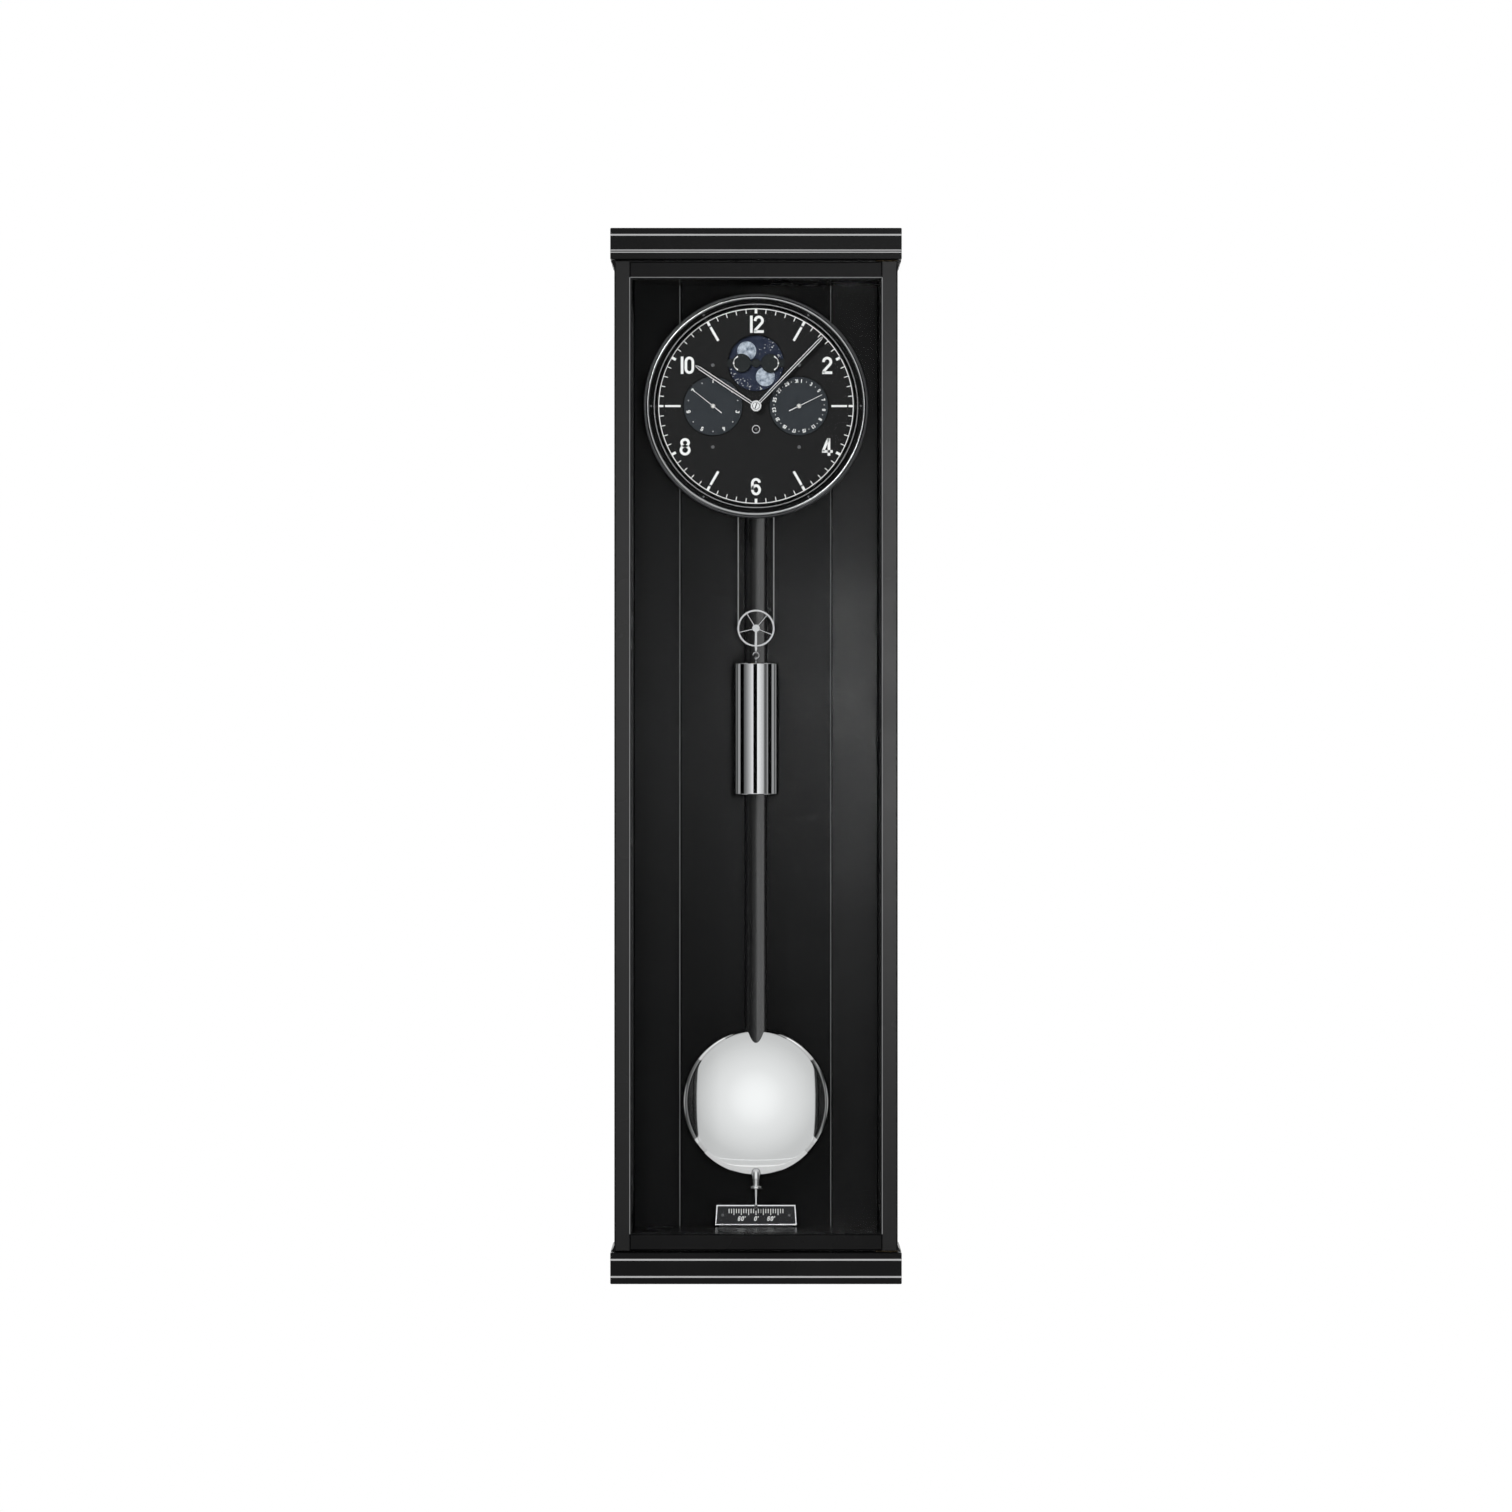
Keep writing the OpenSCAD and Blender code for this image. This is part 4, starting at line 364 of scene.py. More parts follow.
def ribbon(line, width):
    """Flat strip of that width along a line, as corners and faces in the plane."""
    half, points = width / 2, []
    loop = math.dist(line[0], line[-1]) < 1e-6
    for i, here in enumerate(line):
        before = line[i - 1] if i else (line[-2] if loop else None)
        after = line[i + 1] if i + 1 < len(line) else (line[1] if loop else None)
        pairs = [(a, b) for a, b in ((before, here), (here, after)) if a and b and a != b]
        ways = [(Vector(b) - Vector(a)).normalized() for a, b in pairs]
        way = sum(ways, Vector((0, 0))).normalized()
        reach = half / max(0.5, way.dot(ways[0]))
        dx, dy = way.y * reach, way.x * reach
        points += [(here[0] - dx, here[1] + dy), (here[0] + dx, here[1] - dy)]
    return points, [(2 * i, 2 * i + 1, 2 * i + 3, 2 * i + 2) for i in range(len(line) - 1)]


def patch(outline):
    """A flat patch with that outline."""
    return list(outline), [tuple(range(len(outline)))]


def oblong(left, right, low, high):
    """The four corners of an oblong."""
    return [(left, low), (right, low), (right, high), (left, high)]


def number_ink(text, h, s, w, gap, lean=0.0):
    """Strips for a number, centred on nought. w gives the width of each digit."""
    parts, x = [], 0.0
    for k, digit in enumerate(text):
        wide = w[digit] if isinstance(w, dict) else (s if digit in "1'" else w)
        for line in digit_lines(digit, wide, h, s):
            points, faces = ribbon(line, s)
            parts.append(([(px + x + lean * (py - h / 2), py - h / 2) for px, py in points], faces))
        x += wide + (gap if k + 1 < len(text) else 0)
    points, faces = gather(*parts)
    return [(px - x / 2, py) for px, py in points], faces


def turned(part, clockwise=0.0, at=(0.0, 0.0)):
    """Turns strips clockwise about nought, then moves them."""
    c, s = math.cos(math.radians(-clockwise)), math.sin(math.radians(-clockwise))
    return [(x * c - y * s + at[0], x * s + y * c + at[1]) for x, y in part[0]], part[1]


def ink(name, parts, finish, body, origin, film=0.05):
    """Print: a thin film of paint on a plane that faces forward, with origin as its middle."""
    ox, oy, oz = origin
    points, faces = [], []
    for k, (flat, ways) in enumerate(parts):
        n, thick, lift = len(flat), film + 0.0006 * (k % 11), len(points)
        points += [(ox + x, oy - thick, oz + y) for x, y in flat] + [(ox + x, oy, oz + y) for x, y in flat]
        rim = {}
        for way in ways:
            faces.append(tuple(lift + i for i in way))
            for i, j in zip(way, way[1:] + way[:1]):
                rim[(i, j)] = rim.get((i, j), 0) + 1
        faces += [(lift + j, lift + i, lift + n + i, lift + n + j) for i, j in rim if (j, i) not in rim]
    return new_piece(name, (points, faces), finish, body, 0)


whites = [(0.83, 0.83, 0.82), (0.89, 0.89, 0.88)]
print_white = patchy_finish("print_white", whites, 0.6, 800, metal=0, gloss=0.1)

tick_pitch, tick_top, tick_short, tick_long, tick_half = 1.857, -678.6, 3.3, 4.7, 0.33
figure_h, figure_stroke, figure_w, figure_gap, figure_lean = 3.6, 0.78, 2.1, 0.4, 0.2
figure_z, minute_mark_room = -686.0, 0.3
scale_ink = []
for k in range(-11, 12):
    low = tick_top - (tick_long if k % 3 == 0 else tick_short)
    scale_ink.append(patch(oblong(k * tick_pitch - tick_half, k * tick_pitch + tick_half, low, tick_top)))
for k, text in ((-6, "60'"), (0, "0'"), (6, "60'")):
    figure = number_ink(text, figure_h, figure_stroke, figure_w, figure_gap, figure_lean)
    scale_ink.append(turned(figure, 0, (k * tick_pitch + minute_mark_room, figure_z)))
ink("scale_print", scale_ink, print_white, "case", (0, scale_front + field_sunk, 0))


# Movement
# The train runs between two brass plates held apart by turned pillars, on four posts of a grey cast bracket.
# Plates are straight-grained brass, wheels yellow brass, and arbors, anchor and crutch polished steel.

plate_tones = [(0.66, 0.5, 0.24), (0.82, 0.66, 0.36)]
plate_brass = patchy_finish("plate_brass", plate_tones, (0.24, 0.4), 1200, 3, (1, 1, 0.03))
dress(plate_brass, "back_plate", "front_plate", "movement_pillars")

wheel_brass = patchy_finish("wheel_brass", [(0.76, 0.58, 0.28), (0.88, 0.72, 0.4)], (0.16, 0.3), 700, 3)
dress(wheel_brass, "line_drum", "great_wheel", "intermediate_wheel", "centre_wheel", "third_wheel",
      "escape_wheel", "hour_wheel", "minute_wheel", "weekday_star", "date_star")

cast_grey = patchy_finish("cast_grey", [(0.16, 0.16, 0.17)], (0.42, 0.6), 1300, 3, relief=(0.3, 0.0001))
dress(cast_grey, "movement_bracket")

arbor_steel = patchy_finish("arbor_steel", [(0.62, 0.63, 0.66)], (0.1, 0.24), 900)
dress(arbor_steel, "suspension_cock", "pallet_anchor", "crutch", "click", "cannon_pinion",
      "pendulum_suspension")


# Line and drum
# A thin twisted steel line runs from the drum round the pulley and up to a post between the plates.
# The turns that are wound on lie side by side along the drum.

wire_tones = [(0.62, 0.62, 0.61), (0.88, 0.88, 0.87)]
line_steel = patchy_finish("line_steel", wire_tones, 0.3, 2600, 1, (1, 1, 0.5), relief=(0.5, 0.0001))
dress(line_steel, "weight_line")

drum_z, turn_r, turns, first_turn, turn_pitch = -89.4, 13.4, 7.5, -83.4, 0.92
wire_half, wire_sides, turn_steps = 0.44, 8, 48
steps = int(turns * turn_steps)
points, faces = [], []
for i in range(steps + 1):
    a = math.radians(i * 360 / turn_steps)
    y = first_turn - i / turn_steps * turn_pitch
    for k in range(wire_sides):
        b = math.radians(360 * k / wire_sides)
        r = turn_r + wire_half * math.cos(b)
        points.append((r * math.cos(a), y + wire_half * math.sin(b), drum_z + r * math.sin(a)))
    if i < steps:
        here, onward = wire_sides * i, wire_sides * (i + 1)
        sides = [(k, (k + 1) % wire_sides) for k in range(wire_sides)]
        faces += [(here + k, here + m, onward + m, onward + k) for k, m in sides]
faces += [tuple(range(wire_sides - 1, -1, -1)), tuple(range(len(points) - wire_sides, len(points)))]
new_piece("drum_turns", (points, faces), line_steel, "drum", 60)


# Weight
# A plain cylinder turned from steel, polished and chromed, with a small chamfer at each end.
# It hangs by an eye from the pulley's hook.

def spun(profile, centre, axis, steps=128):
    """Turns a profile of (radius, height) round an axis: up, or forward out of the dial."""
    points, faces = [], []
    cx, cy, cz = centre
    for i in range(steps):
        c, s = math.cos(2 * math.pi * i / steps), math.sin(2 * math.pi * i / steps)
        for r, h in profile:
            y, z = (cy + r * s, cz + h) if axis == "up" else (cy - h, cz + r * s)
            points.append((cx + r * c, y, z))
    n = len(profile)
    for i in range(steps):
        here, onward = i * n, (i + 1) % steps * n
        faces += [(here + k, onward + k, onward + k + 1, here + k + 1) for k in range(n - 1)]
    return points, faces


def rounded(corners, r, steps=4):
    """A profile with each inner corner rounded to radius r."""
    out = [corners[0]]
    for before, corner, after in zip(corners, corners[1:], corners[2:]):
        q = Vector(corner)
        u, v = Vector(before) - q, Vector(after) - q
        cut = min(r, 0.45 * u.length, 0.45 * v.length)
        start, end = q + u.normalized() * cut, q + v.normalized() * cut
        for i in range(steps + 1):
            t = i / steps
            w = start * (1 - t) ** 2 + q * 2 * t * (1 - t) + end * t ** 2
            out.append((w.x, w.y))
    return out + [corners[-1]]


axis_r = 0.001
weight_y, weight_top, weight_len, weight_r, weight_chamfer = -90.0, -264.9, 99.2, 17.35, 0.6
weight_chrome = patchy_finish("weight_chrome", [(0.9, 0.9, 0.91)], (0.035, 0.06), 60)

upper = [(axis_r, 0), (weight_r - weight_chamfer, 0), (weight_r, -weight_chamfer)]
upper.append((weight_r, -2 * weight_chamfer))
profile = rounded(upper + [(r, -weight_len - h) for r, h in reversed(upper)], 0.15, 3)
weight_body = new_piece("weight_body", spun(profile, (0, weight_y, weight_top), "up", 160), weight_chrome,
                        "weight", 25)
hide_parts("weight")


def wire_eye(r, wire, centre, steps=48, sides=12):
    """A ring of round wire whose axis points sideways."""
    points, faces = [], []
    for i in range(steps):
        a = 2 * math.pi * i / steps
        for k in range(sides):
            b = 2 * math.pi * k / sides
            out, aside = r + wire / 2 * math.cos(b), wire / 2 * math.sin(b)
            points.append((centre[0] + aside, centre[1] + out * math.cos(a), centre[2] + out * math.sin(a)))
        here, onward = sides * i, sides * ((i + 1) % steps)
        pairs = [(k, (k + 1) % sides) for k in range(sides)]
        faces += [(here + k, here + m, onward + m, onward + k) for k, m in pairs]
    return points, faces


eye_r, eye_wire = 1.7, 1.0
eye_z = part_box("weight")[1].z / mm - eye_r - eye_wire / 2
foot = rounded([(axis_r, 1.2), (0.7, 1.1), (0.8, 0.6), (1.6, 0.25), (1.6, -0.1)], 0.2)
eye = gather(wire_eye(eye_r, eye_wire, (0, weight_y, eye_z)), spun(foot, (0, weight_y, weight_top), "up", 32))
new_piece("weight_eye", eye, weight_chrome, "weight")


# Pulley
# A light wheel of polished steel: a grooved rim, five thin spokes and a hub that turns on the stirrup's pin.
# The stirrup holds it from both sides and ends below in a hook bent from round wire.

pulley_z, wheel_r, rim_in, wheel_half, groove_r, groove_half = -238.7, 14.05, 12.6, 2, 13, 0.65
bright_steel = patchy_finish("bright_steel", [(0.6, 0.6, 0.61)], (0.08, 0.18), 700)

rim = [(rim_in, -wheel_half), (wheel_r, -wheel_half), (wheel_r, 0.2 - wheel_half), (groove_r, -groove_half)]
profile = rounded(rim + [(r, -h) for r, h in reversed(rim)] + rim[:1], 0.2)
parts = [spun(profile, (0, weight_y, pulley_z), "forward", 96)]

spokes, first_spoke, spoke_sides = 5, 40, 8
spoke_stations = ((1.6, 0.7, 0.8), (6, 0.58, 0.75), (12.75, 0.6, 0.8))
over_flats = 1.08
for spoke in range(spokes):
    angle = math.radians(90 - (first_spoke + 360 / spokes * spoke))
    points = []
    for r, half, deep in spoke_stations:
        for i in range(spoke_sides):
            b = math.radians(360 / spoke_sides * (i + 0.5))
            aside, forward = half * over_flats * math.cos(b), deep * over_flats * math.sin(b)
            points.append((r * math.cos(angle) - aside * math.sin(angle), weight_y - forward,
                           pulley_z + r * math.sin(angle) + aside * math.cos(angle)))
    sides = [(spoke_sides * j, i, (i + 1) % spoke_sides) for j in range(2) for i in range(spoke_sides)]
    parts.append((points, [(j + i, j + k, j + spoke_sides + k, j + spoke_sides + i) for j, i, k in sides]))

hub_bore, hub_r, hub_half, hub_chamfer = 1.25, 2.8, 2.4, 0.3
hub = [(hub_bore, -hub_half), (hub_r - hub_chamfer, -hub_half), (hub_r, hub_chamfer - hub_half)]
profile = rounded(hub + [(r, -h) for r, h in reversed(hub)], 0.1)
parts.append(spun(profile, (0, weight_y, pulley_z), "forward", 48))
pulley_wheel = new_piece("pulley_wheel", gather(*parts), bright_steel, "pulley", 45)
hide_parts("pulley")
dress(bright_steel, "pulley_stirrup")


# Pendulum
# A rod of black satin carbon tube hangs from a short spring and enters a heavy lens of polished steel.
# Below the lens a steel sleeve carries the rating nut, and the rod ends in a fine pointer.

pendulum_y, bob_z, rod_r, rod_land = -50.0, -597.2, 8.2, 2
rod_tones = [(0.008, 0.008, 0.0082)]
rod_black = patchy_finish("rod_black", rod_tones, (0.26, 0.34), 500, 3, (1, 1, 0.05), metal=0, gloss=0.3)
rod_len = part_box("pendulum_rod")[1].z / mm - bob_z
profile = rounded([(axis_r, rod_len), (rod_r, rod_len), (rod_r, rod_len - rod_land), (rod_r, rod_land),
                   (rod_r, 0), (axis_r, 0)], 0.3)
rod = new_piece("pendulum_tube", spun(profile, (0, pendulum_y, bob_z), "up", 96), rod_black, "pendulum",
                30)
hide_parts("pendulum_rod")

# Each face of the lens is a shallow cap of a sphere, which turns into a tighter curve down to a narrow rim.
bob_r, bob_half, rim_half, edge_w, edge_half = 56.0, 13.8, 1.2, 4.5, 6.4
bob_steel = patchy_finish("bob_steel", [(0.96, 0.96, 0.96)], (0.045, 0.06), 30)
face_r, sag = bob_r - edge_w, bob_half - edge_half
cap_r = (face_r ** 2 + sag ** 2) / (2 * sag)
edge_a, drop = math.asin(face_r / cap_r), edge_half - rim_half
edge_r = (edge_w ** 2 + drop ** 2) / (2 * (drop * math.cos(edge_a) - edge_w * math.sin(edge_a)))
edge_x, edge_y = face_r - edge_r * math.sin(edge_a), edge_half - edge_r * math.cos(edge_a)
rim_a = math.pi / 2 - math.asin((rim_half - edge_y) / edge_r)
cap_angles = [edge_a * i / 48 for i in range(49)]
edge_angles = [edge_a + (rim_a - edge_a) * i / 24 for i in range(1, 25)]
face = [(max(cap_r * math.sin(a), axis_r), bob_half - cap_r * (1 - math.cos(a))) for a in cap_angles]
face += [(edge_x + edge_r * math.sin(a), edge_y + edge_r * math.cos(a)) for a in edge_angles]
profile = face + [(r, -h) for r, h in reversed(face)]
bob = new_piece("bob_lens", spun(profile, (0, pendulum_y, bob_z), "forward", 256), bob_steel, "pendulum",
                25)
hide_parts("pendulum_bob")


def plate_of(outline, front, back, z=0.0):
    """A flat plate with that outline, raised by z, between two depths."""
    n = len(outline)
    points = [(x, y, z + up) for y in (front, back) for x, up in outline]
    rim = [(i, n + i, n + (i + 1) % n, (i + 1) % n) for i in range(n)]
    return points, [tuple(range(n)), tuple(range(2 * n - 1, n - 1, -1))] + rim


# A slot with a round top is milled through the lens for the sleeve.
sleeve_r, sleeve_end, slot_r, slot_drop, slot_end, mill_reach = 3.3, 58.5, 3.35, 53.35, 60, 20
slot_outline = arc(0, bob_z - slot_drop, slot_r, slot_r, 0, 180, 24)
slot_outline += [(-slot_r, bob_z - slot_end), (slot_r, bob_z - slot_end)]
points, faces = plate_of(slot_outline, pendulum_y - mill_reach, pendulum_y + mill_reach)
cutter_mesh = bpy.data.meshes.new("slot_cutter")
cutter_mesh.from_pydata([(x * mm, y * mm, z * mm) for x, y, z in points], [], faces)
cutter = add_object("slot_cutter", cutter_mesh)
milling = bob.modifiers.new("slot", "BOOLEAN")
milling.object, milling.operation, milling.solver = cutter, "DIFFERENCE", "EXACT"
bpy.context.view_layer.update()
bob.data = bpy.data.meshes.new_from_object(bob.evaluated_get(bpy.context.evaluated_depsgraph_get()))
bob.modifiers.clear()
bpy.data.objects.remove(cutter)

tip_r, tip_end = 1.2, -82.7
profile = [(max(r, axis_r), h) for r, h in arc(0, -slot_drop, sleeve_r, sleeve_r, 90, 0, 16)]
profile += [(sleeve_r, 0.3 - sleeve_end), (sleeve_r - 0.3, -sleeve_end), (tip_r, -sleeve_end)]
profile += [(tip_r, tip_end + 6), (tip_r * 0.92, tip_end + 3), (0.8, tip_end + 1.2), (0.45, tip_end + 0.3),
            (0.2, tip_end), (axis_r, tip_end)]
pointer = new_piece("pendulum_pointer", spun(profile, (0, pendulum_y, bob_z), "up", 64), weight_chrome,
                    "pendulum", 40)
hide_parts("pendulum_tip")

nut_top, nut_bore, knurl_r, knurl_groove_r, knurl_pitch, knurls = -sleeve_end - 0.2, 1.25, 2.75, 2.45, 1.2, 4
flange_r, flange_chamfer = 4.9, 0.3
profile = [(nut_bore, nut_top)]
for k in range(knurls):
    low = nut_top - knurl_pitch * k
    profile += [(knurl_r, low - 0.1), (knurl_r, low - 0.95)]
    profile += [(knurl_groove_r, low - 1.05), (knurl_groove_r, low - knurl_pitch)]
profile += [(2.6, nut_top - 4.9), (flange_r - flange_chamfer, nut_top - 5.0), (flange_r, nut_top - 5.3),
            (flange_r, nut_top - 6.9), (flange_r - flange_chamfer, nut_top - 7.25), (nut_bore, nut_top - 7.3)]
turned_steel = patchy_finish("turned_steel", [(0.95, 0.95, 0.95)], (0.18, 0.28), 1500, 2, (0.05, 0.05, 1))
nut = new_piece("rating_nut_turned", spun(rounded(profile, 0.12, 2), (0, pendulum_y, bob_z), "up", 64),
                turned_steel, "rating_nut", 30)
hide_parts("rating_nut")


# Dial
# A round plate of aluminium anodised black carries white printed minutes, batons and even hours.
# Two sunk subdials, the moon opening and the winding hole are turned into it, and small grey screws hold it.

dial_front, dial_z = -114.0, -72.0
blacks = [(0.0155, 0.0155, 0.0158), (0.0185, 0.0185, 0.0188)]
dial_black = patchy_finish("dial_black", blacks, 0.36, 3500, metal=0, gloss=0.02, relief=(0.12, 0.00002))
dress(dial_black, "dial_plate")


def spot(r, clockwise):
    """The point at radius r and at a clockwise angle from the top."""
    a = math.radians(clockwise)
    return r * math.sin(a), r * math.cos(a)


def stroke_at(r0, r1, width, clockwise):
    """A straight mark that points to the middle of the dial."""
    return turned(patch(oblong(-width / 2, width / 2, r0, r1)), clockwise)


def circle_line(r, width, centre=(0.0, 0.0), start=0, end=360, steps=180):
    """A printed circle, or part of one."""
    spots = [spot(r, start + (end - start) * i / steps) for i in range(steps + 1)]
    return ribbon([(centre[0] + x, centre[1] + y) for x, y in spots], width)


minute_r, minute_len, minute_w, five_w, quarter_w = 73.1, 3.4, 0.58, 1.95, 1.6
baton_in, baton_out, baton_w, quarter_baton_w = 56.7, 68.4, 1.8, 1.5
dial_ink = [circle_line(minute_r, 0.6)]
for m in range(60):
    if m % 5:
        dial_ink.append(stroke_at(minute_r - minute_len, minute_r, minute_w, 6 * m))
    else:
        wide = quarter_w if m in (15, 45) else five_w
        dial_ink.append(stroke_at(minute_r - minute_len - 0.1, minute_r + 0.3, wide, 6 * m))
for hour in (1, 3, 5, 7, 9, 11):
    wide = quarter_baton_w if hour in (3, 9) else baton_w
    dial_ink.append(stroke_at(baton_in, baton_out, wide, 30 * hour))

hour_h, hour_stroke, hour_gap = 13.0, 1.98, 0.7
hour_widths = {"0": 7.2, "1": 2.3, "2": 7.5, "4": 8.1, "6": 7.4, "8": 8.2}
hour_places = {12: (0.6, 61.5), 2: (53.5, 30.6), 4: (53.6, -30.8),
               6: (0, -60.6), 8: (-53.3, -30.6), 10: (-51.6, 30.7)}
for hour, place in hour_places.items():
    dial_ink.append(turned(number_ink(str(hour), hour_h, hour_stroke, hour_widths, hour_gap), 0, place))
ink("dial_print", dial_ink, print_white, "case", (0, dial_front, dial_z))


# Subdials
# Weekday at the left and date at the right: two thin discs anodised slate grey, laid in sunk circles.
# A narrow gap shows round each, darkened with painted shade.
# The days are printed as numbers from 1 to 7, the dates as odd numbers.

subdial_at, subdial_r, subdial_face, subdial_t, subdial_bore = 32.3, 22.0, -113.9, 0.5, 1.3
sink_r, gap_low, gap_high = 22.75, 0.02, 0.12
slate_tones = [(0.032, 0.036, 0.041), (0.038, 0.0425, 0.048)]
slate = patchy_finish("slate", slate_tones, 0.42, 3000, metal=0, gloss=0.04)
gap_shade_black = patchy_finish("gap_shade_black", [(0.003, 0.003, 0.003)], (0.55, 0.65), 900, metal=0, gloss=0.1)

profile = rounded([(subdial_bore, 0), (subdial_bore, subdial_t), (subdial_r - 0.12, subdial_t),
                   (subdial_r, subdial_t - 0.12), (subdial_r, 0)], 0.05, 2)


def band(inner, outer, low, high):
    """The profile of a flat ring."""
    return [*oblong(inner, outer, low, high), (inner, low)]


# Painted shade: a near-black ring lies at the floor of the gap round each disc.
shade_ring = band(subdial_r, sink_r, gap_low, gap_high)
middles = [(s * subdial_at, subdial_face + subdial_t, dial_z) for s in (-1, 1)]
discs = new_piece("subdial_discs", gather(*[spun(profile, middle, "forward") for middle in middles]), slate,
                  "case", 30)
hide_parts("subdials")
new_piece("subdial_gap_shade", gather(*[spun(shade_ring, middle, "forward") for middle in middles]), gap_shade_black,
          "case", 30)


def dot(x, y, r, sides=12):
    """A round dot of print."""
    angles = [2 * math.pi * i / sides for i in range(sides)]
    return patch([(x + r * math.cos(a), y + r * math.sin(a)) for a in angles])


days, day_h, day_stroke, day_w, day_gap, day_r = 7, 3.1, 0.68, 2.1, 0.3, 18.9
dates, date_h, date_stroke, date_w, date_gap, first_date, date_step = 31, 2.7, 0.58, 1.65, 0.24, 5.8, 11.613
small_ink = []
for day in range(days):
    angle = day * 360 / days
    x, y = spot(day_r, angle)
    figure = number_ink(str(day + 1), day_h, day_stroke, day_w, day_gap)
    small_ink.append(turned(figure, angle, (x - subdial_at, y)))
    x, y = spot(day_r + 0.1, angle + 180 / days)
    small_ink.append(dot(x - subdial_at, y, 0.36))
for date in range(1, dates + 1):
    angle = first_date + (date - 1) * date_step
    x, y = spot(day_r, angle)
    if date % 2:
        figure = number_ink(str(date), date_h, date_stroke, date_w, date_gap)
        small_ink.append(turned(figure, angle, (x + subdial_at, y)))
    else:
        small_ink.append(dot(x + subdial_at, y, 0.3))
ink("subdial_print", small_ink, print_white, "case", (0, subdial_face, dial_z), 0.04)


# Moon
# A night-blue disc with two pale moons and scattered stars turns behind the opening, once in two lunations.
# A black cover of two round shields hides the moons as they set; it is fixed to the dial at both sides.

moon_z, sight_r, moon_face, moon_t, moon_bore, moon_lap = dial_z + 32.3, 21.6, -111.6, 0.8, 1.0, 1.6
night_tones = [(0.017, 0.021, 0.038), (0.034, 0.042, 0.068)]
night = patchy_finish("night", night_tones, 0.4, 160, 4, metal=0, gloss=0.05)
profile = rounded([(moon_bore, -moon_t), (moon_bore, 0), (sight_r + moon_lap - 0.2, 0),
                   (sight_r + moon_lap, -0.2), (sight_r + moon_lap, -moon_t)], 0.05, 2)
night_disc = new_piece("night_disc", spun(profile, (0, moon_face, moon_z), "forward"), night, "moon",
                       30)
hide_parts("moon_disc")

moon_tones = [(0.1, 0.13, 0.18), (0.6, 0.66, 0.74)]
moon_pale = patchy_finish("moon_pale", moon_tones, 0.55, 330, 5, metal=0, gloss=0.2)
moon_r, moon_spots = 7.15, [(-7.0, 9.25), (7.05, -10.1)]
ink("moon_faces", [dot(x, y, moon_r, 48) for x, y in moon_spots], moon_pale, "moon",
    (0, moon_face, moon_z), 0.03)

# The stars lie thickest at the upper right and the lower left, where no moon is.
stars, star_in, star_spread, smallest_star, star_growth = 80, 7.0, 13.5, 0.17, 0.26
star_parts, seed = [], 7
while len(star_parts) < stars:
    draws = []
    for _ in range(4):
        seed = (seed * 16807) % 2147483647
        draws.append(seed / 2147483647)
    start, end = (14, 78) if draws[3] < 0.42 else (192, 262) if draws[3] < 0.8 else (90, 180)
    x, y = spot(star_in + star_spread * math.sqrt(draws[0]), start + (end - start) * draws[1])
    if all(math.dist((x, y), moon) > moon_r + 0.65 for moon in moon_spots):
        star_parts.append(dot(x, y, smallest_star + star_growth * draws[2] ** 2, 6))
ink("stars", star_parts, print_white, "moon", (0, moon_face, moon_z), 0.03)

shield_at, shield_r, middle_r, neck_half, band_half = 10.9, 6.8, 3.0, 1.2, 2.7
cover_front, cover_back, shield_shade_grow, cover_rim = -113.7, -112.3, 0.35, 0.02
cover_tones = [(0.02, 0.0225, 0.0235), (0.025, 0.028, 0.029)]
cover_grey = patchy_finish("cover_grey", cover_tones, 0.42, 2500, metal=0, gloss=0.05)


def cover_outline(grow):
    """Half of the cover's upper edge from the rim to the middle, then mirrored, as one closed outline."""
    bridge, neck, rim = band_half + grow, neck_half + grow, sight_r - cover_rim
    r, m = shield_r + grow, middle_r + grow
    start, end = 180 - math.degrees(math.asin(bridge / r)), math.degrees(math.asin(neck / r))
    half = [(-math.sqrt(rim * rim - bridge * bridge), bridge)]
    half += [(-shield_at + x, y) for x, y in arc(0, 0, r, r, start, end, 28)]
    half += arc(0, 0, m, m, 180 - math.degrees(math.asin(neck / m)), 90, 10)
    top = half + [(-x, y) for x, y in reversed(half[:-1])]
    rim_right = [spot(rim, clockwise) for clockwise in (85.5, 87.8, 90, 92.2, 94.5)]
    return top + rim_right + [(x, -y) for x, y in reversed(top)] + [(-x, -y) for x, y in rim_right]


shields = plate_of(cover_outline(0), cover_front, cover_back, moon_z)
cover = new_piece("moon_shields", shields, cover_grey, "case", 30)
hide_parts("moon_cover")
# Painted shade: a near-black outline, a little wider than the shields and set behind their face, darkens
# their edge.
edge = plate_of(cover_outline(shield_shade_grow), -113.25, -112.25, moon_z)
new_piece("moon_shield_shade", edge, gap_shade_black, "case", 30)
# Painted shade: a near-black ring just inside the moon opening darkens its edge.
opening_shade_y, opening_shade_w, opening_shade_t = -113.0, 0.75, 0.35
shade_ring = band(sight_r - opening_shade_w, sight_r - cover_rim, 0, opening_shade_t)
new_piece("moon_opening_shade", spun(shade_ring, (0, opening_shade_y, moon_z), "forward"), gap_shade_black, "case",
          30)

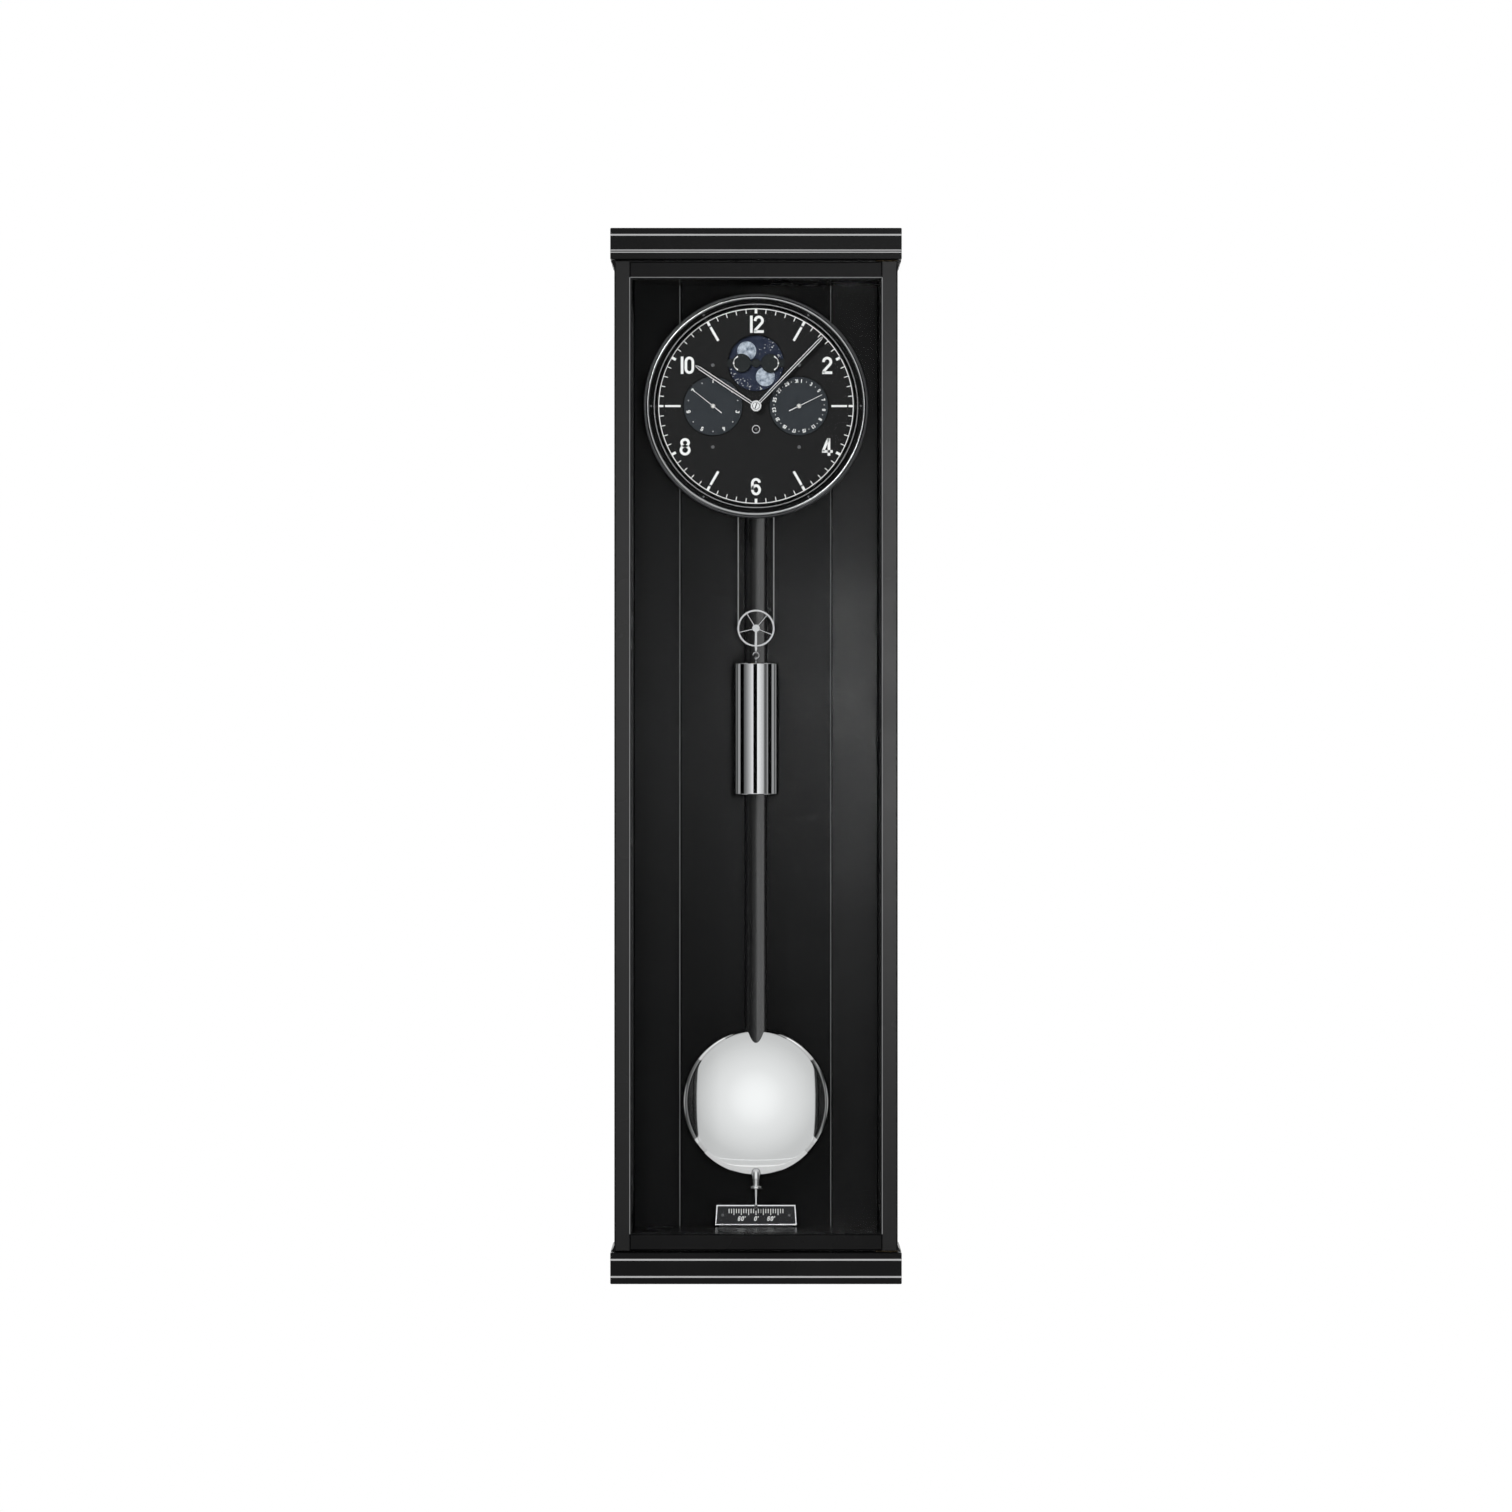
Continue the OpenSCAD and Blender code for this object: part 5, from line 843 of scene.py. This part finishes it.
# Round the outer half of each shield runs a thin arc with a wedge at either end and a small block.
arc_r, arc_w, arc_reach, wedge_tip, wedge_end = 5.9, 0.34, 58, 34, 62
block_half, block_in, block_out = 0.4, 5.3, 6.5
cover_ink = []
for s in (-1, 1):
    middle = (s * shield_at, 0.0)
    cover_ink.append(circle_line(arc_r, arc_w, middle, s * 90 - arc_reach, s * 90 + arc_reach, 30))
    for way in (-1, 1):
        tip, wide = s * 90 + way * wedge_tip, s * 90 + way * wedge_end
        wedge = [spot(arc_r + out, a) for out, a in ((-0.15, tip), (-0.7, wide), (0.5, wide), (0.15, tip))]
        cover_ink.append(patch([(middle[0] + x, y) for x, y in wedge]))
    cover_ink.append(turned(patch(oblong(-block_half, block_half, block_in, block_out)), s * 90, middle))
ink("moon_scale", cover_ink, print_white, "case", (0, cover_front, moon_z), 0.04)


# Winding hole
# A turned steel bush lines the hole through which the crank reaches the square of the drum's arbor.

bush_bore, bush_r, bush_rise, bush_deep = 2.35, 3.35, 0.6, 2
bush_steel = patchy_finish("bush_steel", [(0.75, 0.75, 0.76)], (0.16, 0.28), 1200)
profile = rounded([(bush_bore, -bush_deep), (bush_bore, 0.35), (bush_bore + 0.15, bush_rise),
                   (bush_r - 0.35, bush_rise), (bush_r, 0.35), (bush_r, -bush_deep),
                   (bush_bore, -bush_deep)], 0.1)
bush = new_piece("winding_ring", spun(profile, (0, dial_front, drum_z), "forward", 64), bush_steel, "case",
                 30)
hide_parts("winding_bush")

# Painted shade: a near-black ring round the square darkens the hole in the bush.
square_half, square_front, shade_y = 0.95, -113.6, -113.45
shade = band(0.9, bush_bore - 0.05, 0, 0.1)
new_piece("winding_shade", spun(shade, (0, shade_y, drum_z), "forward", 48), gap_shade_black, "drum",
          30)
square = oblong(-square_half, square_half, -square_half, square_half)
new_piece("winding_square", plate_of(square, square_front, shade_y + 0.04, drum_z), screw_steel, "drum",
          0)


# Bezel
# The dial has no glass of its own: a turned bezel of polished steel with a round bead frames it. Inside lie a
# black channel with six tiny screws and a narrow polished ring that slopes down to the dial.

bezel_in, bezel_out, bezel_back, step_r, step_h = 80.1, 84.4, -6, 82.9, 4.95
bead_at, bead_h, bead_r = 81.35, 5.75, 1.25
bezel_steel = patchy_finish("bezel_steel", [(0.5, 0.5, 0.505)], (0.17, 0.24), 900)
bezel_flat_shade = patchy_finish("bezel_flat_shade", [(0.07, 0.07, 0.072)], (0.26, 0.36), 900)
bead = arc(bead_at, bead_h, bead_r, bead_r, 180, 0, 15)
profile = [(bezel_in, bezel_back)] + bead
profile += [(step_r, step_h), (bezel_out - 0.5, step_h), (bezel_out, 4.4), (bezel_out, bezel_back),
            (bezel_in, bezel_back)]
points, faces = spun(profile, (0, dial_front, dial_z), "forward", 256)
# Painted shade: the bead takes the bright steel, every other face of the bezel a near-black copy of it.
on_bead = [1 <= i % (len(profile) - 1) < len(bead) for i in range(len(faces))]
bezel = new_piece("bezel_turned", (points, faces), [bezel_steel, bezel_flat_shade], "case", 25,
                  [0 if bright else 1 for bright in on_bead])
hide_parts("bezel")

near_black = [(0.004, 0.004, 0.004)]
dress(patchy_finish("channel_black", near_black, (0.25, 0.38), 600, metal=0, gloss=0.06), "bezel_channel")

ring_in, ring_out, ring_h = 74, 77.4, 4.3
ring_shade_steel = patchy_finish("ring_shade_steel", [(0.014, 0.014, 0.0145)], (0.25, 0.36), 900)
ring_edge = patchy_finish("ring_edge", [(0.3, 0.3, 0.305)], (0.18, 0.28), 900)
profile = [(ring_in, 0), (ring_out, 0), (ring_out, 3.2), (76.9, ring_h - 0.2), (76.7, ring_h), (76.1, ring_h),
           (75.85, ring_h - 0.25), (ring_in, 0.8), (ring_in, 0)]
# Painted shade: all faces of the ring but its narrow rounded top take a near-black copy of the steel.
shaded_sides = (0, 1, 2, 6, 7)
points, faces = spun(profile, (0, dial_front, dial_z), "forward", 256)
ring = new_piece("minute_ring", (points, faces), [ring_edge, ring_shade_steel], "case", 25,
                 [1 if i % (len(profile) - 1) in shaded_sides else 0 for i in range(len(faces))])
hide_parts("dial_ring")


# Hands
# Hours and minutes: straight bars of polished steel with bevelled edges, a flute along the middle in painted
# shade, and a short point. Each is pressed on its pipe, and a slotted nut holds the minute hand.

hand_steel = patchy_finish("hand_steel", [(0.95, 0.95, 0.95)], (0.2, 0.3), 900)
painted_groove_shade = patchy_finish("painted_groove_shade", [(0.07, 0.07, 0.073)], (0.38, 0.52), 2000)
hand_t, hand_root, flute_floor = 0.7, 3.2, 0.7
hand_side = [(-1, 0), (-1, 0.35), (-0.8, 1), (-0.44, 1), (-0.4, flute_floor)]
hand_section = hand_side + [(-s, t) for s, t in reversed(hand_side)]
# Painted shade: the faces of the flute take a near-black copy of the steel.
flute_sides = (3, 4, 5)


def hand(name, node_name, body, length, half_width, plane, clockwise, hub_r, hub_bore):
    """A fluted bar with bevelled edges from the hub to a short point, drawn upwards and then turned."""
    stations = [(hand_root, half_width * 0.86), (length * 0.55, half_width),
                (length - 3.2 * half_width, half_width), (length - 1.1 * half_width, half_width * 0.62),
                (length, 0.12)]
    bar_points = [(s * half, y, t * hand_t) for y, half in stations for s, t in hand_section]
    n, faces, which = len(hand_section), [], []
    for k in range(len(stations) - 1):
        for i in range(n):
            j = (i + 1) % n
            faces.append((k * n + i, k * n + j, k * n + n + j, k * n + n + i))
            which.append(1 if i in flute_sides else 0)
    faces += [tuple(range(n)), tuple(range(len(bar_points) - 1, len(bar_points) - n - 1, -1))]
    which += [0, 0]
    c, s = math.cos(math.radians(-clockwise)), math.sin(math.radians(-clockwise))
    placed = [(x * c - y * s, plane - t, dial_z + x * s + y * c) for x, y, t in bar_points]
    hub_h = hand_t + 0.1
    profile = rounded([(hub_bore, 0), (hub_bore, hub_h), (hub_r * 0.62, hub_h), (hub_r - 0.35, hub_h),
                       (hub_r, hand_t - 0.25), (hub_r, 0), (hub_bore, 0)], 0.12)
    hub, ways = spun(profile, (0, plane, dial_z), "forward", 96)
    piece = new_piece(name, gather((placed, faces), (hub, ways)), [hand_steel, painted_groove_shade], body,
                      25, which + [0] * len(ways))
    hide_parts(node_name)


hand("hour_bar", "hour_hand", "hour_hand", 55.0, 1.5, -116.6, 303.7, 4.4, 3.0)
hand("minute_bar", "minute_hand", "minute_hand", 72.4, 1.32, -118.6, 44.0, 4.3, 2.0)

nut_back, nut_front, nut_r, nut_h = -119.3, -121.0, 2.9, 1.7
profile = rounded([(1.05, 0), (nut_r, 0), (nut_r, nut_h - 0.5), (nut_r - 0.4, nut_h), (0.5, nut_h),
                   (axis_r, nut_h - 0.08)], 0.15)
centre_nut = new_piece("centre_nut", spun(profile, (0, nut_back, dial_z), "forward", 64), hand_steel,
                       "minute_hand", 30)
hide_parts("hand_nut")
# Painted shade: the nut's slot is not cut, but drawn as a dark film on its face.
slot_half, slot_reach, slot_turn = 0.38, 2.2, 20
slot = turned(patch(oblong(-slot_half, slot_half, -slot_reach, slot_reach)), slot_turn)
ink("centre_slot_shade", [slot], painted_groove_shade, "minute_hand", (0, nut_front, dial_z), 0.02)


# Small hands
# The weekday and date hands are cut from thin steel: a needle with a counterpoise, on a small round hub.

needle_front, needle_back, needle_tail, needle_hub_y = -115.0, -114.7, 8.4, -114.4


def needle(name, node_name, x, length, clockwise):
    """A flat needle with a tail and a hub, turned about its own arbor."""
    edge = [(0.26, 0), (0.34, 0.3 - needle_tail), (0.2, -needle_tail)]
    outline = [(-0.26, 0), (-0.17, length - 0.8), (0, length), (0.17, length - 0.8)] + edge
    outline += [(-u, v) for u, v in reversed(edge[1:])]
    points, faces = plate_of(turned((outline, []), clockwise, (x, 0))[0], needle_front, needle_back, dial_z)
    profile = rounded([(axis_r, 1.25), (0.9, 1.25), (1.0, 0.85), (1.75, 0.7), (1.75, 0), (0.9, 0)], 0.12)
    hub = spun(profile, (x, needle_hub_y, dial_z), "forward", 48)
    piece = new_piece(name, gather((points, faces), hub), hand_steel, node_name, 25)
    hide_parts(node_name)


needle("weekday_needle", "weekday_hand", -subdial_at, 17.4, 308.6)
needle("date_needle", "date_hand", subdial_at, 19.4, 63.9)


# Studio
# A white room with a pale floor far below, which glows to the camera alone. A key lamp stands right of the
# lens and a soft one up at the left. Neither shows in the metal, which mirrors the room, white cards and a
# black flag. The lacquer and the bezel mirror lamps of their own, in place of windows.

def sheet(name, corners, finish):
    """One flat face in metres."""
    mesh = bpy.data.meshes.new(name)
    mesh.from_pydata(corners, [], [(0, 1, 2, 3)])
    mesh.materials.append(finish)
    return add_object(name, mesh)


floor_half, studio_floor_z = 6, -1.6
corners = oblong(-floor_half, floor_half, -floor_half, floor_half)
floor_tones = [(0.88, 0.88, 0.88), (0.92, 0.92, 0.92)]
floor_paint = patchy_finish("floor_paint", floor_tones, 0.8, 3, metal=0, gloss=0.2)
tree = floor_paint.node_tree
shader = tree.nodes["Principled BSDF"]
path = add_node(tree, "LightPath")
glow = add_node(tree, "Math", {1: 0.45})
glow.operation = "MULTIPLY"
tree.links.new(path.outputs["Is Camera Ray"], glow.inputs[0])
tree.links.new(glow.outputs["Value"], shader.inputs["Emission Strength"])
shader.inputs["Emission Color"].default_value = (1, 1, 1, 1)
floor = sheet("studio_floor", [(x, y, studio_floor_z) for x, y in corners], floor_paint)
floor.visible_glossy = False

world = bpy.data.worlds.new("studio")
bpy.context.scene.world = world
world.use_nodes = True
tree = world.node_tree
plain = tree.nodes["Background"]
plain.inputs["Color"].default_value = (1, 1, 1, 1)
plain.inputs["Strength"].default_value = 0.3
seen = add_node(tree, "Background", {"Strength": 1.0})
where = add_node(tree, "TexCoord")


def room(way, stops):
    """Brightness of the room along one direction, from -1 to 1, as (place, value) stops."""
    part = add_node(tree, "VectorMath", {1: way})
    part.operation = "DOT_PRODUCT"
    span = add_node(tree, "MapRange", {"From Min": -1})
    shade = add_node(tree, "ValToRGB")
    ends = shade.color_ramp.elements
    for end, (place, value) in zip((ends[0], ends[1]), (stops[0], stops[-1])):
        end.position, end.color = place * 0.5 + 0.5, (value, value, value, 1)
    for place, value in stops[1:-1]:
        ends.new(place * 0.5 + 0.5).color = (value, value, value, 1)
    tree.links.new(where.outputs["Generated"], part.inputs[0])
    tree.links.new(part.outputs["Value"], span.inputs["Value"])
    tree.links.new(span.outputs["Result"], shade.inputs["Fac"])
    return shade.outputs["Color"]


# The room is bright in front of the clock and behind it, and has dark upright bands at both sides.
ahead = room((0, -1, 0), [(-1, 1), (0, 0.55), (0.5, 0.55), (0.87, 0.6), (0.97, 0.84), (1, 1)])
left_side = [(-1, 0.6), (-0.985, 0.5), (-0.97, 0.1), (-0.94, 0.1), (-0.87, 0.22), (-0.77, 0.36), (-0.64, 0.6),
             (-0.5, 0.88), (-0.3, 1)]
right_side = [(0.55, 1), (0.62, 0.75), (0.67, 0.3), (0.75, 0.15), (0.81, 0.2), (0.85, 0.6), (0.88, 0.55),
              (0.915, 0.1), (0.96, 0.08), (0.975, 0.4), (1, 0.6)]
sideways = room((1, 0, 0), left_side + right_side)
whole = add_node(tree, "MixRGB", {"Fac": 1.0})
whole.blend_type = "MULTIPLY"
tree.links.new(ahead, whole.inputs["Color1"])
tree.links.new(sideways, whole.inputs["Color2"])
tree.links.new(whole.outputs["Color"], seen.inputs["Color"])
path = add_node(tree, "LightPath")
eye = add_node(tree, "Background", {"Color": (1, 1, 1, 1), "Strength": 1.0})
either = add_node(tree, "Math")
either.operation = "MAXIMUM"
tree.links.new(path.outputs["Is Glossy Ray"], either.inputs[0])
tree.links.new(path.outputs["Is Transmission Ray"], either.inputs[1])
mirror = add_node(tree, "MixShader")
tree.links.new(either.outputs["Value"], mirror.inputs["Fac"])
tree.links.new(plain.outputs["Background"], mirror.inputs[1])
tree.links.new(seen.outputs["Background"], mirror.inputs[2])
final = add_node(tree, "MixShader")
tree.links.new(path.outputs["Is Camera Ray"], final.inputs["Fac"])
tree.links.new(mirror.outputs["Shader"], final.inputs[1])
tree.links.new(eye.outputs["Background"], final.inputs[2])
tree.links.new(final.outputs["Shader"], tree.nodes["World Output"].inputs["Surface"])


def lamp(name, place, target, width, height, watts):
    """A soft lamp aimed at a point, in metres. Metal doesn't mirror it, because it mirrors the room."""
    light = bpy.data.lights.new(name, "AREA")
    light.shape = "RECTANGLE"
    light.size, light.size_y = width, height
    light.energy = watts
    stand = add_object(name, light)
    stand.location = place
    stand.rotation_euler = (Vector(target) - Vector(place)).to_track_quat("-Z", "Y").to_euler()
    stand.visible_glossy = False
    return stand


lamp("front_lamp", (0.3, -3.25, -0.1), (0, -0.1, -0.335), 0.5, 0.5, 16)
lamp("left_lamp", (-1.55, -2.75, 1.2), (0, -0.1, -0.2), 0.28, 0.28, 80)


def mirrored(name, place, target, width, height, brightness, *pieces):
    """A lamp that only the shine of the pieces given shows, for a card or a window that they mirror."""
    card = lamp(name, place, target, width, height, brightness * math.pi * width * height)
    card.visible_glossy, card.visible_diffuse = True, False
    group = bpy.data.collections.new(name + "_pieces")
    for piece in pieces:
        group.objects.link(piece)
    card.light_linking.receiver_collection = group


lacquered = ("case_sides", "end_boards", "cornice", "plinth", "door_stiles", "door_rails", "door_beads")
mirrored("sheen_lamp", (0.217, -3.25, -0.235), (0.217, -0.1, -0.235), 0.18, 0.5, 71,
         *[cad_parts[name] for name in lacquered])
mirrored("board_lamp", (0.11, -3.25, -0.272), (0.11, -0.1, -0.272), 0.2, 0.16, 71,
         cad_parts["back_boards"])
mirrored("rod_card", (0.047, -0.094, -0.35), (0, -0.054, -0.35), 0.115, 0.55, 3.4, rod)
mirrored("bezel_lamp", (-0.75, -2.6, 0.65), (0, -0.12, -0.07), 0.7, 0.7, 10, bezel, ring)

# White cards lie on the door's bottom rail and on the floor board, and stand at both sides of the bob.
white_card, card_w, side_x, low_z, rail_top = 0.6, 0.186, 0.0925, -0.6915, opening_bottom * mm
mirrored("edge_card", (0, -0.1381, rail_top + 0.0002), (0, -0.1381, 0), card_w, 0.0195, white_card, bob)
mirrored("floor_card", (0, -0.0792, low_z), (0, -0.0792, 0), card_w, 0.0984, white_card, bob)
for s in (-1, 1):
    top, low = (s * side_x, -0.097, -0.47), (s * side_x, -0.097, -0.673)
    mirrored("top_card", top, (0, *top[1:]), 0.1, 0.12, white_card * 0.7, bob)
    mirrored("low_card", low, (0, *low[1:]), 0.1, 0.035, white_card * 0.8, bob)

# A narrow black flag in front of the door gives the weight its dark middle line. Only reflections show it.
flag_y, flag_left, flag_right, flag_low, flag_high = -0.16, -0.0145, 0.0063, -0.366, -0.258
corners = oblong(flag_left, flag_right, flag_low, flag_high)
velvet = patchy_finish("velvet", [(0.018, 0.018, 0.018), (0.024, 0.024, 0.024)], 0.9, 900, metal=0, gloss=0.1)
flag = sheet("black_flag", [(x, flag_y, z) for x, z in corners], velvet)
flag.visible_camera = flag.visible_diffuse = flag.visible_transmission = flag.visible_shadow = False

# The lens stands 7.3 m in front of the door, level with the middle of the case.
lens_distance, frame_w, sensor_w = 7300, 1130.8, 36
camera_data = bpy.data.cameras.new("camera")
camera_data.sensor_width = sensor_w
camera_data.lens = sensor_w * lens_distance / frame_w
camera = add_object("camera", camera_data)
camera.location = (0, -7.45, -0.335)
camera.rotation_euler = (math.pi / 2, 0, 0)
bpy.context.scene.camera = camera
bpy.context.scene.view_settings.view_transform = "Standard"
